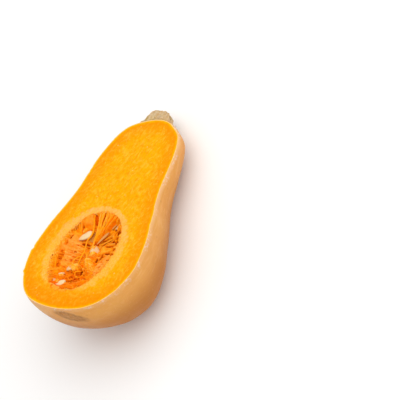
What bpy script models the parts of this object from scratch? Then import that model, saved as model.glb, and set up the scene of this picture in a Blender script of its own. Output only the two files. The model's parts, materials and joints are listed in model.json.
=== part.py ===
"""A butternut squash cut in half lengthwise, lying on its rind with the cut face up.

The squash is shaped in its own frame first: X runs from the blossom end to the stem, Z = 0 is the
cut face and the rind is below it. An empty then turns and lifts every piece to the pose in which
the half lies still on a table: it rests on the underside of the bulb and of the neck.
"""

import math

import bmesh
import bpy
import numpy as np
from mathutils import Euler, Matrix, Vector

MM = 0.001
GAP = 0.3 * MM

BODY_LENGTH = 216 * MM

# Distance from the blossom end, and radius of the rind there. The widest place is the bulb.
RADII = [
    (0 * MM, 0 * MM),
    (7 * MM, 35 * MM),
    (18 * MM, 48 * MM),
    (36 * MM, 58 * MM),
    (56 * MM, 62 * MM),
    (81 * MM, 59.3 * MM),
    (108 * MM, 52.5 * MM),
    (135 * MM, 46 * MM),
    (162 * MM, 43 * MM),
    (185 * MM, 38.5 * MM),
    (200 * MM, 32 * MM),
    (211 * MM, 17.5 * MM),
    (BODY_LENGTH, 0 * MM),
]
# Distance from the blossom end, and the depth of the squash there for each unit of width.
DEPTH_FACTORS = [
    (0 * MM, 0.92),
    (43 * MM, 1.03),
    (86 * MM, 1.01),
    (130 * MM, 0.98),
    (165 * MM, 0.9),
    (190 * MM, 0.87),
    (BODY_LENGTH, 0.95),
]
# Distance from the blossom end, and how much fuller than a circle the squash is there, halfway
# between its sides and its underside.
FULLNESS = [
    (0 * MM, 0),
    (76 * MM, 0.115),
    (120 * MM, 0.08),
    (150 * MM, 0.025),
    (180 * MM, -0.02),
    (200 * MM, -0.04),
    (BODY_LENGTH, 0),
]
# Distance from the blossom end, and how far the middle of the squash wanders to the side.
BEND = [
    (0 * MM, 4.5 * MM),
    (27 * MM, 1 * MM),
    (77 * MM, -1.3 * MM),
    (113 * MM, -1 * MM),
    (153 * MM, 1.4 * MM),
    (185 * MM, 0.2 * MM),
    (207 * MM, -1.8 * MM),
    (BODY_LENGTH, -5.5 * MM),
]
# Sideways lean of the underside for each unit of depth.
LEAN = 0.012
# The knife passed above the middle line of the squash, by this much at each end.
AXIS_BELOW_FACE_AT_BLOSSOM = 11 * MM
AXIS_BELOW_FACE_AT_STEM = 8 * MM

# Seed hollow: an egg-shaped room whose widest level is a little below the cut face.
HOLLOW_CENTRE = Vector((64 * MM, 2 * MM, -7 * MM))
HOLLOW_HALF_LENGTH = 46.3 * MM
HOLLOW_HALF_WIDTH = 33 * MM
HOLLOW_HALF_HEIGHT = 29 * MM
HOLLOW_TURN = math.radians(-11)

# Pulp: it fills the hollow up to a lumpy top, which meets the wall at this depth and sags inside it.
PULP_RIM_DEPTH = 4 * MM
PULP_MIDDLE_DEPTH = 11.3 * MM
PULP_LUMP_HEIGHT = 1.4 * MM
# How sharply the sag begins at the wall.
PULP_SAG_POWER = 3
# Waves on the pulp's top: their number round the hollow, their number outwards, and their share.
PULP_WAVES = [(3, 5, 1.0), (5, -9, 0.6)]

# Stem stub: distance along the squash and its half width there. It is flatter than wide.
STEM_OUTLINE = [
    (202 * MM, 19.5 * MM),
    (209 * MM, 18.5 * MM),
    (214 * MM, 16.5 * MM),
    (219 * MM, 14.5 * MM),
    (224 * MM, 12 * MM),
    (228 * MM, 9 * MM),
    (230 * MM, 0 * MM),
]
STEM_FLATNESS = 0.72
STEM_SIDE = 8.5 * MM
STEM_DEPTH = 12 * MM
STEM_RIBS = 5
STEM_RIB_DEPTH = 0.06

# How much slimmer and flatter a seed gets towards its pointed end.
SEED_TAPER = 0.28
SEED_TIP_TAPER = 0.12
SEED_THINNING = 0.2
# Each seed: middle (x, y, z), length, width and thickness in mm, then three turns in degrees:
# the heading of its long axis, the lift of its pointed end, and the roll about the long axis.
SEEDS = [
    ((83.2, 15.6, -7.3), (16.2, 8.6, 2.8), (127, -4, 8)),
    ((86.2, 6.9, -9.95), (14, 7.4, 2.4), (-22, 2, 10)),
    ((84.8, -3.2, -8.6), (16.2, 7, 2.3), (152, -5, 38)),
    ((98.1, -11, -6.5), (7.2, 3.8, 1.6), (-24, 4, -38)),
    ((98.8, -15.5, -6), (9.2, 5, 1.8), (-22, 4, -40)),
    ((71, -1.3, -9.6), (10.6, 8.8, 2.5), (12, 12, 38)),
    ((50, 13.3, -9), (12.6, 9, 2.5), (-62, 5, -26)),
    ((40.5, 19.2, -7.2), (7, 4.4, 1.8), (-75, 0, -42)),
    ((31.6, 23.8, -6), (6.8, 4.6, 2), (98, 3, 12)),
    ((30.2, 14.5, -6.4), (11.8, 6.6, 2.5), (107, -3, 10)),
    ((34.2, -7.5, -6), (8.6, 3.8, 1.6), (-11, 4, -52)),
]

# How the half lies still: its turns about Y and then X, and the depth of the two spots where the
# rind is pressed flat on the table.
REST_PITCH = math.radians(15.8)
REST_ROLL = math.radians(-0.2)
FLAT_DEPTH = 0.5 * MM
# Reach of the blocks that stand for the knife's side and the table: farther than the squash goes.
BLOCK_REACH = 500 * MM
# Stations along the squash and turns around it, where its lowest spot is looked for.
REST_STATIONS = 121
REST_TURNS = 61

BODY_RINGS = 34
BODY_SEGMENTS = 44
HOLLOW_RINGS = 24
HOLLOW_SEGMENTS = 36
SEED_RINGS = 10
SEED_SEGMENTS = 14
STEM_RINGS = 10
STEM_SEGMENTS = 30


def smooth_value(points, at):
    """Value at a distance on the smooth curve through (distance, value) points. It never overshoots."""
    xs, ys = np.array(points).T
    steps = np.diff(xs)
    slopes = np.diff(ys) / steps
    tangents = np.empty(len(xs))
    tangents[0], tangents[-1] = slopes[0], slopes[-1]
    for i in range(1, len(xs) - 1):
        before, after = slopes[i - 1], slopes[i]
        same_way = before * after > 0
        tangents[i] = 2 * before * after / (before + after) if same_way else 0.0
    i = int(np.clip(np.searchsorted(xs, at) - 1, 0, len(steps) - 1))
    t = min(max((at - xs[i]) / steps[i], 0.0), 1.0)
    rise = ys[i + 1] - ys[i]
    start = t * (1 - t) ** 2 * steps[i] * tangents[i]
    end = t**2 * (t - 1) * steps[i] * tangents[i + 1]
    return float(ys[i] + rise * t**2 * (3 - 2 * t) + start + end)


def rounded_value(points, at):
    """Like smooth_value, but on the squares, so that a curve that falls to 0 ends round."""
    squares = [(x, y * y) for x, y in points]
    return math.sqrt(max(smooth_value(squares, at), 0.0))


def rind_point(x, around, grow=0.0):
    """A point on the rind: around is 0 at +Y and turns downwards. grow moves it outwards."""
    share = x / BODY_LENGTH
    axis = AXIS_BELOW_FACE_AT_BLOSSOM * (1 - share) + AXIS_BELOW_FACE_AT_STEM * share
    diagonal = math.sin(2 * around) ** 2 if 0 < around < math.pi else 0.0
    radius = (rounded_value(RADII, x) + grow) * (1 + smooth_value(FULLNESS, x) * diagonal)
    z = -smooth_value(DEPTH_FACTORS, x) * (axis + radius * math.sin(around))
    y = smooth_value(BEND, x) + radius * math.cos(around) + LEAN * z
    return Vector((x, y, z))


def new_mesh_object(name, mesh_maker, collection):
    """A smooth object from the bmesh that mesh_maker returns, whose faces point outwards."""
    bm = mesh_maker()
    mesh = bpy.data.meshes.new(name)
    bm.to_mesh(mesh)
    bm.free()
    mesh.shade_smooth()
    obj = bpy.data.objects.new(name, mesh)
    collection.objects.link(obj)
    return obj


def new_cutter(name, mesh_maker, collection):
    cutter = new_mesh_object(name, mesh_maker, collection)
    cutter.hide_render = True
    cutter.display_type = "WIRE"
    return cutter


def cut(obj, cutter):
    """Takes the cutter's volume away from the object."""
    boolean = obj.modifiers.new(cutter.name, "BOOLEAN")
    boolean.operation = "DIFFERENCE"
    boolean.solver = "EXACT"
    boolean.object = cutter


def give_material(obj, colour, roughness):
    material = bpy.data.materials.new(obj.name)
    material.use_nodes = True
    shader = material.node_tree.nodes["Principled BSDF"]
    shader.inputs["Base Color"].default_value = (*colour, 1.0)
    shader.inputs["Roughness"].default_value = roughness
    shader.inputs["Metallic"].default_value = 0.0
    obj.data.materials.append(material)


def whole_squash(grow=0.0):
    """The whole squash as a sphere that is stretched along its profile, grown outwards by grow."""
    bm = bmesh.new()
    bmesh.ops.create_uvsphere(bm, u_segments=BODY_SEGMENTS, v_segments=BODY_RINGS, radius=1.0)
    for vertex in bm.verts:
        share = (1 - vertex.co.z) / 2
        around = math.atan2(vertex.co.y, vertex.co.x)
        place = rind_point(share * BODY_LENGTH, around, grow)
        place.x += grow * (2 * share - 1)
        vertex.co = place
    return bm


def hollow_frame():
    """The matrix that takes a unit sphere's directions to the turned seed hollow, without its size."""
    return Matrix.Translation(HOLLOW_CENTRE) @ Matrix.Rotation(HOLLOW_TURN, 4, "Z")


def hollow():
    bm = bmesh.new()
    size = (HOLLOW_HALF_LENGTH, HOLLOW_HALF_WIDTH, HOLLOW_HALF_HEIGHT)
    bmesh.ops.create_uvsphere(
        bm,
        u_segments=HOLLOW_SEGMENTS,
        v_segments=HOLLOW_RINGS,
        radius=1.0,
        matrix=hollow_frame() @ Matrix.Diagonal((*size, 1.0)),
    )
    return bm


def pulp_depth(reach, turn):
    """Depth of the pulp's top below the cut face. reach is 0 in the middle and 1 at the wall."""
    sag = PULP_RIM_DEPTH + (PULP_MIDDLE_DEPTH - PULP_RIM_DEPTH) * (1 - reach**PULP_SAG_POWER)
    lumps = sum(share * math.sin(number * turn + out * reach) for number, out, share in PULP_WAVES)
    return sag + PULP_LUMP_HEIGHT * lumps * reach * (1 - reach) * 2


def pulp():
    """The hollow's shape with a lumpy lid: a sphere whose upper rings become the pulp's top."""
    half_length = HOLLOW_HALF_LENGTH - GAP
    half_width = HOLLOW_HALF_WIDTH - GAP
    half_height = HOLLOW_HALF_HEIGHT - GAP
    rim_rise = (-PULP_RIM_DEPTH - HOLLOW_CENTRE.z) / half_height
    rim_polar = math.acos(rim_rise)
    rim_reach = math.sin(rim_polar)
    frame = hollow_frame()
    bm = bmesh.new()
    bmesh.ops.create_uvsphere(bm, u_segments=HOLLOW_SEGMENTS, v_segments=HOLLOW_RINGS, radius=1.0)
    for vertex in bm.verts:
        polar = math.acos(min(max(vertex.co.z, -1.0), 1.0))
        turn = math.atan2(vertex.co.y, vertex.co.x)
        on_top = polar <= math.pi / 2
        if on_top:
            share = polar / (math.pi / 2)
            reach = share * rim_reach
            z = -pulp_depth(share, turn) - HOLLOW_CENTRE.z
        else:
            bowl = rim_polar + (polar - math.pi / 2) / (math.pi / 2) * (math.pi - rim_polar)
            reach = math.sin(bowl)
            z = half_height * math.cos(bowl)
        flat = (half_length * reach * math.cos(turn), half_width * reach * math.sin(turn))
        vertex.co = frame @ Vector((*flat, z))
    return bm


def seed_shape(size, grow=0.0):
    """A flat seed along X with its pointed end at +X: broad and round at the other end."""
    length, width, thickness = (side * MM / 2 + grow for side in size)
    bm = bmesh.new()
    bmesh.ops.create_uvsphere(
        bm,
        u_segments=SEED_SEGMENTS,
        v_segments=SEED_RINGS,
        radius=1.0,
        matrix=Matrix.Rotation(math.pi / 2, 4, "Y"),
    )
    for vertex in bm.verts:
        along = vertex.co.x
        taper = 1 - SEED_TAPER * along - SEED_TIP_TAPER * along * abs(along)
        vertex.co.x = along * length
        vertex.co.y *= width * taper
        vertex.co.z *= thickness * (1 - SEED_THINNING * along)
    return bm


def seed_matrix(middle, turns):
    heading, lift, roll = (math.radians(turn) for turn in turns)
    place = Matrix.Translation(Vector(middle) * MM)
    spin = Matrix.Rotation(heading, 4, "Z") @ Matrix.Rotation(-lift, 4, "Y")
    return place @ spin @ Matrix.Rotation(roll, 4, "X")


def placed_seed(middle, size, turns, grow=0.0):
    bm = seed_shape(size, grow)
    bmesh.ops.transform(bm, matrix=seed_matrix(middle, turns), verts=bm.verts)
    return bm


def stem():
    """The corky stub: a ribbed cone with a rounded tip, which starts inside the neck's end."""
    first, last = STEM_OUTLINE[0][0], STEM_OUTLINE[-1][0]
    bm = bmesh.new()
    bmesh.ops.create_uvsphere(bm, u_segments=STEM_SEGMENTS, v_segments=STEM_RINGS, radius=1.0)
    for vertex in bm.verts:
        polar = math.acos(min(max(-vertex.co.z, -1.0), 1.0))
        turn = math.atan2(vertex.co.y, vertex.co.x)
        share = polar / math.pi
        x = first + (last - first) * share
        closing = min(1.0, share * STEM_RINGS)
        radius = rounded_value(STEM_OUTLINE, x) * closing
        ribs = 1 + STEM_RIB_DEPTH * math.cos(STEM_RIBS * turn + share)
        y = STEM_SIDE + radius * ribs * math.cos(turn)
        z = -STEM_DEPTH + radius * ribs * STEM_FLATNESS * math.sin(turn)
        vertex.co = (x, y, z)
    return bm


def block(low, high):
    """A box from its lowest to its highest corner."""
    low, high = Vector(low), Vector(high)
    bm = bmesh.new()
    size = Matrix.Diagonal((*(high - low), 1.0))
    bmesh.ops.create_cube(bm, size=1.0, matrix=Matrix.Translation((low + high) / 2) @ size)
    return bm


def knife_side():
    """Everything above the cut face."""
    return block((-BLOCK_REACH, -BLOCK_REACH, 0.0), (BLOCK_REACH, BLOCK_REACH, BLOCK_REACH))


def table():
    """Everything below the surface that the half lies on."""
    return block((-BLOCK_REACH, -BLOCK_REACH, -BLOCK_REACH), (BLOCK_REACH, BLOCK_REACH, 0.0))


def rest_matrix():
    """The resting turn, lifted so that the table presses the lowest spots flat by FLAT_DEPTH."""
    turn = Euler((REST_ROLL, REST_PITCH, 0.0)).to_matrix().to_4x4()
    stations = np.linspace(0, BODY_LENGTH, REST_STATIONS)
    turns = np.linspace(0, math.pi, REST_TURNS)
    lowest = min((turn @ rind_point(x, a)).z for x in stations for a in turns)
    return Matrix.Translation((0, 0, -lowest - FLAT_DEPTH)) @ turn


def middle_of(objects):
    """The middle of the objects' shared box, seen from above."""
    bpy.context.view_layer.update()
    graph = bpy.context.evaluated_depsgraph_get()
    points = []
    for obj in objects:
        evaluated = obj.evaluated_get(graph)
        points += [evaluated.matrix_world @ v.co for v in evaluated.to_mesh().vertices]
        evaluated.to_mesh_clear()
    places = np.array(points)
    return (places.min(0) + places.max(0)) / 2


def make_squash(parts, cutters):
    """All the pieces in the squash's own frame. Returns the objects that stay with the squash."""
    face = new_cutter("knife_side", knife_side, cutters)
    room = new_cutter("hollow", hollow, cutters)
    neck_end = new_cutter("neck_end", lambda: whole_squash(GAP), cutters)

    half = new_mesh_object("squash_half", whole_squash, parts)
    cut(half, face)
    cut(half, room)
    give_material(half, (0.93, 0.42, 0.03), 0.5)

    stub = new_mesh_object("stem", stem, parts)
    cut(stub, neck_end)
    cut(stub, face)
    give_material(stub, (0.62, 0.52, 0.33), 0.8)

    strings = new_mesh_object("seed_pulp", pulp, parts)
    give_material(strings, (0.85, 0.27, 0.02), 0.4)

    carried = [half, stub, strings, face, room, neck_end]
    for number, (middle, size, turns) in enumerate(SEEDS, start=1):
        name = f"seed_{number:02d}"
        seed = new_mesh_object(name, lambda: placed_seed(middle, size, turns), parts)
        give_material(seed, (0.85, 0.74, 0.55), 0.45)
        pocket = new_cutter(name + "_pocket", lambda: placed_seed(middle, size, turns, GAP), cutters)
        cut(strings, pocket)
        carried += [seed, pocket]
    return half, stub, carried


def main():
    for old in list(bpy.data.objects):
        bpy.data.objects.remove(old, do_unlink=True)
    scene = bpy.context.scene
    parts = bpy.data.collections.new("butternut_squash_half")
    cutters = bpy.data.collections.new("cutters")
    cutters.hide_render = True
    scene.collection.children.link(parts)
    scene.collection.children.link(cutters)

    half, stub, carried = make_squash(parts, cutters)
    floor = new_cutter("table", table, cutters)
    cut(half, floor)

    rest = bpy.data.objects.new("resting_pose", None)
    parts.objects.link(rest)
    rest.matrix_world = rest_matrix()
    for obj in carried:
        obj.parent = rest
    middle = middle_of([half, stub])
    rest.location.x -= middle[0]
    rest.location.y -= middle[1]
    bpy.context.view_layer.update()


main()
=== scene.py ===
"""Looks of a butternut squash that was cut in half lengthwise and lies on its rind.

Every piece is shaped in the squash's own frame, in millimetres: X runs from the blossom end to the
stem, Z = 0 is the cut face and the rind is below it. Its points are then turned and lifted to the
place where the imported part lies.
"""

import json
import math
import random

import bpy
import numpy as np
from mathutils import Euler, Matrix, Vector, noise
from mathutils.geometry import delaunay_2d_cdt

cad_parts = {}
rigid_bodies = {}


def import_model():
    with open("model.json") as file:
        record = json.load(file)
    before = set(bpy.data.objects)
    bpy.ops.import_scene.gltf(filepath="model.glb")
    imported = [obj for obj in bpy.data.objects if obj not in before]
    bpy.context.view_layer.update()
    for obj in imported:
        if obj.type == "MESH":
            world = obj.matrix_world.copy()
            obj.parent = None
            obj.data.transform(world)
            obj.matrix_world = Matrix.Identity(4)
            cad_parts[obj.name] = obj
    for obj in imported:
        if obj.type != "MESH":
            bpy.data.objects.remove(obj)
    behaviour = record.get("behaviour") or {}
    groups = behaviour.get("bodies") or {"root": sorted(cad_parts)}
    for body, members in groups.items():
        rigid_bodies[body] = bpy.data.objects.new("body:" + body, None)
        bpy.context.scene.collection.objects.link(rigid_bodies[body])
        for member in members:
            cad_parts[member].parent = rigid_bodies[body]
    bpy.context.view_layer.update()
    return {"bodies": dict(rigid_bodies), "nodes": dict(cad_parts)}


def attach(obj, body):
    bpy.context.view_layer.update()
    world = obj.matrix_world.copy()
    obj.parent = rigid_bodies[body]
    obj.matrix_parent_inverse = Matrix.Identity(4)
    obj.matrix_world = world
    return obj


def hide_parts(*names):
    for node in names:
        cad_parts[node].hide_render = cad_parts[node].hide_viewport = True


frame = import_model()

bl_info = {
    "name": "Butternut Squash Half",
    "version": (1, 0, 0),
    "blender": (4, 5, 0),
    "location": "3D View > Sidebar > Squash",
    "description": "Builds the flesh, rind, pulp, seeds and stem of a halved butternut squash",
    "category": "Object",
}

MM = 0.001
BODY = "root"

# Profile of the squash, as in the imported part: distance from the blossom end and a value there.
BODY_LENGTH = 216.0
RADII = [
    (0, 0),
    (7, 35),
    (18, 48),
    (36, 58),
    (56, 62),
    (81, 59.3),
    (108, 52.5),
    (135, 46),
    (162, 43),
    (185, 38.5),
    (200, 32),
    (211, 17.5),
    (BODY_LENGTH, 0),
]
DEPTH_FACTORS = [
    (0, 0.92), (43, 1.03), (86, 1.01), (130, 0.98), (165, 0.9), (190, 0.87), (BODY_LENGTH, 0.95),
]
FULLNESS = [
    (0, 0), (76, 0.115), (120, 0.08), (150, 0.025), (180, -0.02), (200, -0.04), (BODY_LENGTH, 0),
]
BEND = [(0, 4.5), (27, 1), (77, -1.3), (113, -1), (153, 1.4), (185, 0.2), (207, -1.8), (BODY_LENGTH, -5.5)]
LEAN = 0.012
AXIS_BELOW_FACE_AT_BLOSSOM = 11.0
AXIS_BELOW_FACE_AT_STEM = 8.0

# Seed hollow: middle, half sizes and turn of the egg-shaped room.
HOLLOW_CENTRE = np.array([64.0, 2.0, -7.0])
HOLLOW_HALF_LENGTH = 46.3
HOLLOW_HALF_WIDTH = 33.0
HOLLOW_HALF_HEIGHT = 29.0
HOLLOW_TURN = math.radians(-11)
# Half sizes of the hollow's rim, at the level of the cut face.
RIM_SHARE = math.sqrt(1 - (HOLLOW_CENTRE[2] / HOLLOW_HALF_HEIGHT) ** 2)
RIM_HALF_LENGTH = HOLLOW_HALF_LENGTH * RIM_SHARE
RIM_HALF_WIDTH = HOLLOW_HALF_WIDTH * RIM_SHARE
# Outer edge of the pale ring round the hollow: middle, half sizes and turn.
RING_CENTRE = np.array([64.5, 2.0])
RING_HALF_LENGTH = 49.5
RING_HALF_WIDTH = 40.5
RING_TURN = math.radians(-8)

# Top of the pulp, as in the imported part.
PULP_RIM_DEPTH = 4.0
PULP_MIDDLE_DEPTH = 11.3
PULP_LUMP_HEIGHT = 1.4
PULP_SAG_POWER = 3
PULP_WAVES = [(3, 5, 1.0), (5, -9, 0.6)]

# Stem stub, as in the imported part: distance along the squash and half width there.
STEM_OUTLINE = [(202, 19.5), (209, 18.5), (214, 16.5), (219, 14.5), (224, 12), (228, 9), (230, 0)]
STEM_FLATNESS = 0.72
STEM_SIDE = 8.5
STEM_DEPTH = 12.0

# Each seed: middle, then length, width and thickness, then heading, lift and roll in degrees, and
# how much its hull takes the orange tan of the pulp's stain and of painted shade, from 0 to 1.
SEEDS = [
    ((83.2, 15.6, -7.3), (16.2, 8.6, 2.8), (127, -4, 8), 0.05),
    ((86.2, 6.9, -9.95), (14, 7.4, 2.4), (-22, 2, 10), 0.95),
    ((84.8, -3.2, -8.6), (16.2, 7, 2.3), (152, -5, 38), 0.8),
    ((98.1, -11, -6.5), (7.2, 3.8, 1.6), (-24, 4, -38), 0.9),
    ((98.8, -15.5, -6), (9.2, 5, 1.8), (-22, 4, -40), 0.5),
    ((71, -1.3, -9.6), (10.6, 8.8, 2.5), (12, 12, 38), 0.3),
    ((50, 13.3, -9), (12.6, 9, 2.5), (-62, 5, -26), 0.25),
    ((40.5, 19.2, -7.2), (7, 4.4, 1.8), (-75, 0, -42), 0.1),
    ((31.6, 23.8, -6), (6.8, 4.6, 2), (98, 3, 12), 0.55),
    ((30.2, 14.5, -6.4), (11.8, 6.6, 2.5), (107, -3, 10), 0.0),
    ((34.2, -7.5, -6), (8.6, 3.8, 1.6), (-11, 4, -52), 0.9),
]

# Resting place: turns about X and Y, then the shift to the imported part's place.
REST_ROLL = math.radians(-0.2)
REST_PITCH = math.radians(15.8)
REST_SHIFT = np.array([-106.091, 1.024, 89.241])
REST_TURN = np.array(Euler((REST_ROLL, REST_PITCH, 0.0)).to_matrix())


def srgb(red, green, blue):
    """A colour on the scale of 0 to 255 as the linear colour that shaders take."""
    shares = [level / 255 for level in (red, green, blue)]
    return tuple(s / 12.92 if s <= 0.04045 else ((s + 0.055) / 1.055) ** 2.4 for s in shares)


def colour_setting(name, description, *default):
    """A colour of the panel. Its default is on the scale of 0 to 255."""
    return bpy.props.FloatVectorProperty(
        name=name, description=description, subtype="COLOR", size=3, min=0.0, max=1.0,
        default=srgb(*default),
    )


class FleshSettings(bpy.types.PropertyGroup):
    """Colours of the cut flesh, the rind and the wall of the hollow."""

    flesh_colour: colour_setting("Flesh", "Main orange of the cut flesh", 255, 164, 0)
    flesh_deep_colour: colour_setting(
        "Deep Flesh", "Deeper orange near the rind and under the hollow", 255, 136, 0
    )
    flesh_pale_colour: colour_setting("Pale Grain", "Short pale streaks in the flesh", 255, 188, 58)
    rim_colour: colour_setting("Yellow Rim", "Yellow band just inside the rind", 255, 176, 0)
    ring_colour: colour_setting("Ring", "Pale ring round the hollow", 255, 172, 58)
    rind_colour: colour_setting("Rind", "Main tan of the rind", 226, 161, 82)
    scar_colour: colour_setting("Blossom Scar", "Corky scar at the blossom end", 172, 118, 70)


class PulpSettings(bpy.types.PropertyGroup):
    """Colours of the pulp, and number and size of its strings."""

    pulp_colour: colour_setting("Pulp", "Main orange of the pulp", 255, 158, 4)
    # The crevice colour is painted shade in the gaps between the strings.
    crevice_shade_colour: colour_setting("Crevices", "Dark gaps between the strings", 212, 88, 0)
    strand_colour: colour_setting("Strands", "Lightest strings", 255, 168, 46)
    matted_fibres: bpy.props.IntProperty(
        name="Matted Fibres", description="Strings that lie on the pulp", min=20, max=900, default=360,
    )
    fibre_width: bpy.props.FloatProperty(
        name="Fibre Width", description="Half width of a usual string", subtype="DISTANCE",
        unit="LENGTH", min=0.0001, max=0.002, default=0.0003,
    )


class SeedSettings(bpy.types.PropertyGroup):
    """Colours of the seeds."""

    hull_colour: colour_setting("Hull", "Cream of a seed's hull", 238, 216, 170)
    # Partly the pulp's stain, partly painted shade with painted orange light that the pulp throws back.
    stain_and_shade_colour: colour_setting("Dull Hull", "Orange tan of a hull that the pulp has stained", 222, 140, 40)


class StemSettings(bpy.types.PropertyGroup):
    """Colours of the stem stub."""

    cork_colour: colour_setting("Cork", "Pale beige of the stem", 208, 170, 112)
    moss_colour: colour_setting("Green Spots", "Yellow-green left in the hollows", 186, 158, 62)


class StageSettings(bpy.types.PropertyGroup):
    """Floor, lights and camera."""

    floor_colour: bpy.props.FloatVectorProperty(
        name="Floor", description="Pale floor", subtype="COLOR", size=3,
        min=0.0, max=1.0, default=(0.93, 0.925, 0.92),
    )
    camera_distance: bpy.props.FloatProperty(
        name="Camera Distance", description="From the camera to the squash", subtype="DISTANCE",
        unit="LENGTH", min=0.5, max=20.0, default=3.0,
    )
    picture_width: bpy.props.FloatProperty(
        name="Picture Width", description="Width that the picture takes in at the squash",
        subtype="DISTANCE", unit="LENGTH", min=0.1, max=2.0, default=0.36996,
    )


def smooth_value(points, at):
    """Values on the smooth curve through (distance, value) points. It never overshoots."""
    xs, ys = np.array(points, float).T
    at = np.asarray(at, float)
    steps = np.diff(xs)
    slopes = np.diff(ys) / steps
    before, after = slopes[:-1], slopes[1:]
    same_way = before * after > 0
    total = np.where(same_way, before + after, 1.0)
    inner = np.where(same_way, 2 * before * after / total, 0.0)
    tangents = np.concatenate([slopes[:1], inner, slopes[-1:]])
    i = np.clip(np.searchsorted(xs, at) - 1, 0, len(steps) - 1)
    t = np.clip((at - xs[i]) / steps[i], 0.0, 1.0)
    rise = ys[i + 1] - ys[i]
    start = t * (1 - t) ** 2 * steps[i] * tangents[i]
    end = t**2 * (t - 1) * steps[i] * tangents[i + 1]
    return ys[i] + rise * t**2 * (3 - 2 * t) + start + end


def rounded_value(points, at):
    """Like smooth_value, but on the squares, so that a curve that falls to 0 ends round."""
    squares = [(x, y * y) for x, y in points]
    return np.sqrt(np.maximum(smooth_value(squares, at), 0.0))


def axis_depth(x):
    """Depth of the squash's long axis below the cut face."""
    share = x / BODY_LENGTH
    return AXIS_BELOW_FACE_AT_BLOSSOM * (1 - share) + AXIS_BELOW_FACE_AT_STEM * share


def rind_points(x, around):
    """Points on the rind: around is 0 at +Y and turns downwards."""
    below = (around > 0) & (around < math.pi)
    diagonal = np.where(below, np.sin(2 * around) ** 2, 0.0)
    radius = rounded_value(RADII, x) * (1 + smooth_value(FULLNESS, x) * diagonal)
    z = -smooth_value(DEPTH_FACTORS, x) * (axis_depth(x) + radius * np.sin(around))
    y = smooth_value(BEND, x) + radius * np.cos(around) + LEAN * z
    return np.stack(np.broadcast_arrays(x, y, z), -1)


def fade(value, low, high):
    """0 below low, 1 above high and smooth between them."""
    t = np.clip((value - low) / (high - low), 0.0, 1.0)
    return t * t * (3 - 2 * t)


def rough(points, size, octaves=3, shift=0.0):
    """Soft random heights, about -1 to 1, at points. size is the width of a bump: one or three numbers."""
    scaled = np.asarray(points, float) / np.asarray(size, float) + shift
    flat = scaled.reshape(-1, 3)
    heights = [noise.fractal(Vector(p), 1.0, 2.0, octaves) for p in flat]
    return np.array(heights).reshape(scaled.shape[:-1])


def ridges(points, size, octaves=2, shift=0.0):
    """Sharp random crests, 1 on a crest and falling to about 0 between crests."""
    return 1 - np.minimum(np.abs(rough(points, size, octaves, shift)) * 2.5, 1.0)


def flat_points(along, across):
    """Flat places as points of no height, for random heights there."""
    return np.stack([along, across, np.zeros_like(along)], -1)


def unit(arrows):
    """The arrows, each made 1 long."""
    return arrows / np.maximum(np.linalg.norm(arrows, axis=-1, keepdims=True), 1e-6)


def full_turn(count):
    """Evenly spread turns of a whole circle."""
    return np.linspace(0, 2 * math.pi, count, endpoint=False)


def ellipse(half_length, half_width, turns):
    """Places along and across the hollow, on an ellipse about its middle."""
    return half_length * np.cos(turns), half_width * np.sin(turns)


def in_turned_axes(along, across, turn):
    """Two measures of a flat place, taken along axes that are turned."""
    c, s = math.cos(turn), math.sin(turn)
    return along * c + across * s, -along * s + across * c


def to_world(points):
    """Points of the squash's own frame, in millimetres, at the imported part's place in metres."""
    return (np.asarray(points, float).reshape(-1, 3) @ REST_TURN.T + REST_SHIFT) * MM


def hollow_to_squash(along, across):
    """Flat place in the squash's frame of a place that is measured along and across the hollow."""
    x, y = in_turned_axes(along, across, -HOLLOW_TURN)
    return HOLLOW_CENTRE[0] + x, HOLLOW_CENTRE[1] + y


def squash_to_hollow(x, y):
    """Place along and across the hollow of a flat place in the squash's frame."""
    return in_turned_axes(x - HOLLOW_CENTRE[0], y - HOLLOW_CENTRE[1], HOLLOW_TURN)


def new_object(name, data):
    """A new object of the scene."""
    obj = bpy.data.objects.new(name, data)
    bpy.context.scene.collection.objects.link(obj)
    return obj


def mesh_object(name, points, faces, materials, attributes=None, choice=None):
    """A smooth object from points in the squash's frame. attributes are values for each point."""
    world = to_world(points)
    mesh = bpy.data.meshes.new(name)
    mesh.from_pydata(world.tolist(), [], faces)
    for material in materials:
        mesh.materials.append(material)
    if choice is not None:
        mesh.polygons.foreach_set("material_index", np.asarray(choice, np.int32))
    for label, values in (attributes or {}).items():
        flat = np.asarray(values, np.float32)
        kind = "FLOAT_VECTOR" if flat.ndim == 2 else "FLOAT"
        layer = mesh.attributes.new(label, kind, "POINT")
        layer.data.foreach_set("vector" if flat.ndim == 2 else "value", flat.reshape(-1))
    mesh.shade_smooth()
    mesh.validate()
    return new_object(name, mesh)


def finish_piece(obj, slot, *nodes):
    """The piece rides with the squash and stands for CAD nodes. slot is not used."""
    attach(obj, BODY)
    if nodes:
        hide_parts(*nodes)


def grid_faces(index):
    """Faces over a grid of point numbers, rows by columns. Points that coincide share a number."""
    faces = []
    for above, below in zip(index[:-1], index[1:]):
        for k in range(len(above) - 1):
            corners = (above[k], below[k], below[k + 1], above[k + 1])
            face = [int(c) for i, c in enumerate(corners) if c != corners[i - 1]]
            if len(face) > 2:
                faces.append(face)
    return faces


def joined(counts, *values):
    """A value for each point, from one value or a row of values for each of some parts."""
    return np.concatenate([np.broadcast_to(value, count) for count, value in zip(counts, values)])


def closed_rings(first, rings, count):
    """Point numbers of rings of points, each closed by its first point."""
    around = np.append(np.arange(count), 0)
    return [first + ring * count + around for ring in range(rings)]


def capped_faces(rings, count):
    """Faces of a closed shape whose points are one end, rings of points and the other end."""
    start = np.zeros(count + 1, int)
    end = np.full(count + 1, 1 + rings * count)
    return grid_faces(np.array([start, *closed_rings(1, rings, count), end]))


def looks_at(points, face, target):
    """Whether a face is turned towards a target."""
    corners = points[face[:3]]
    normal = np.cross(corners[1] - corners[0], corners[2] - corners[0])
    return normal @ (target - corners[0]) >= 0


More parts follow.
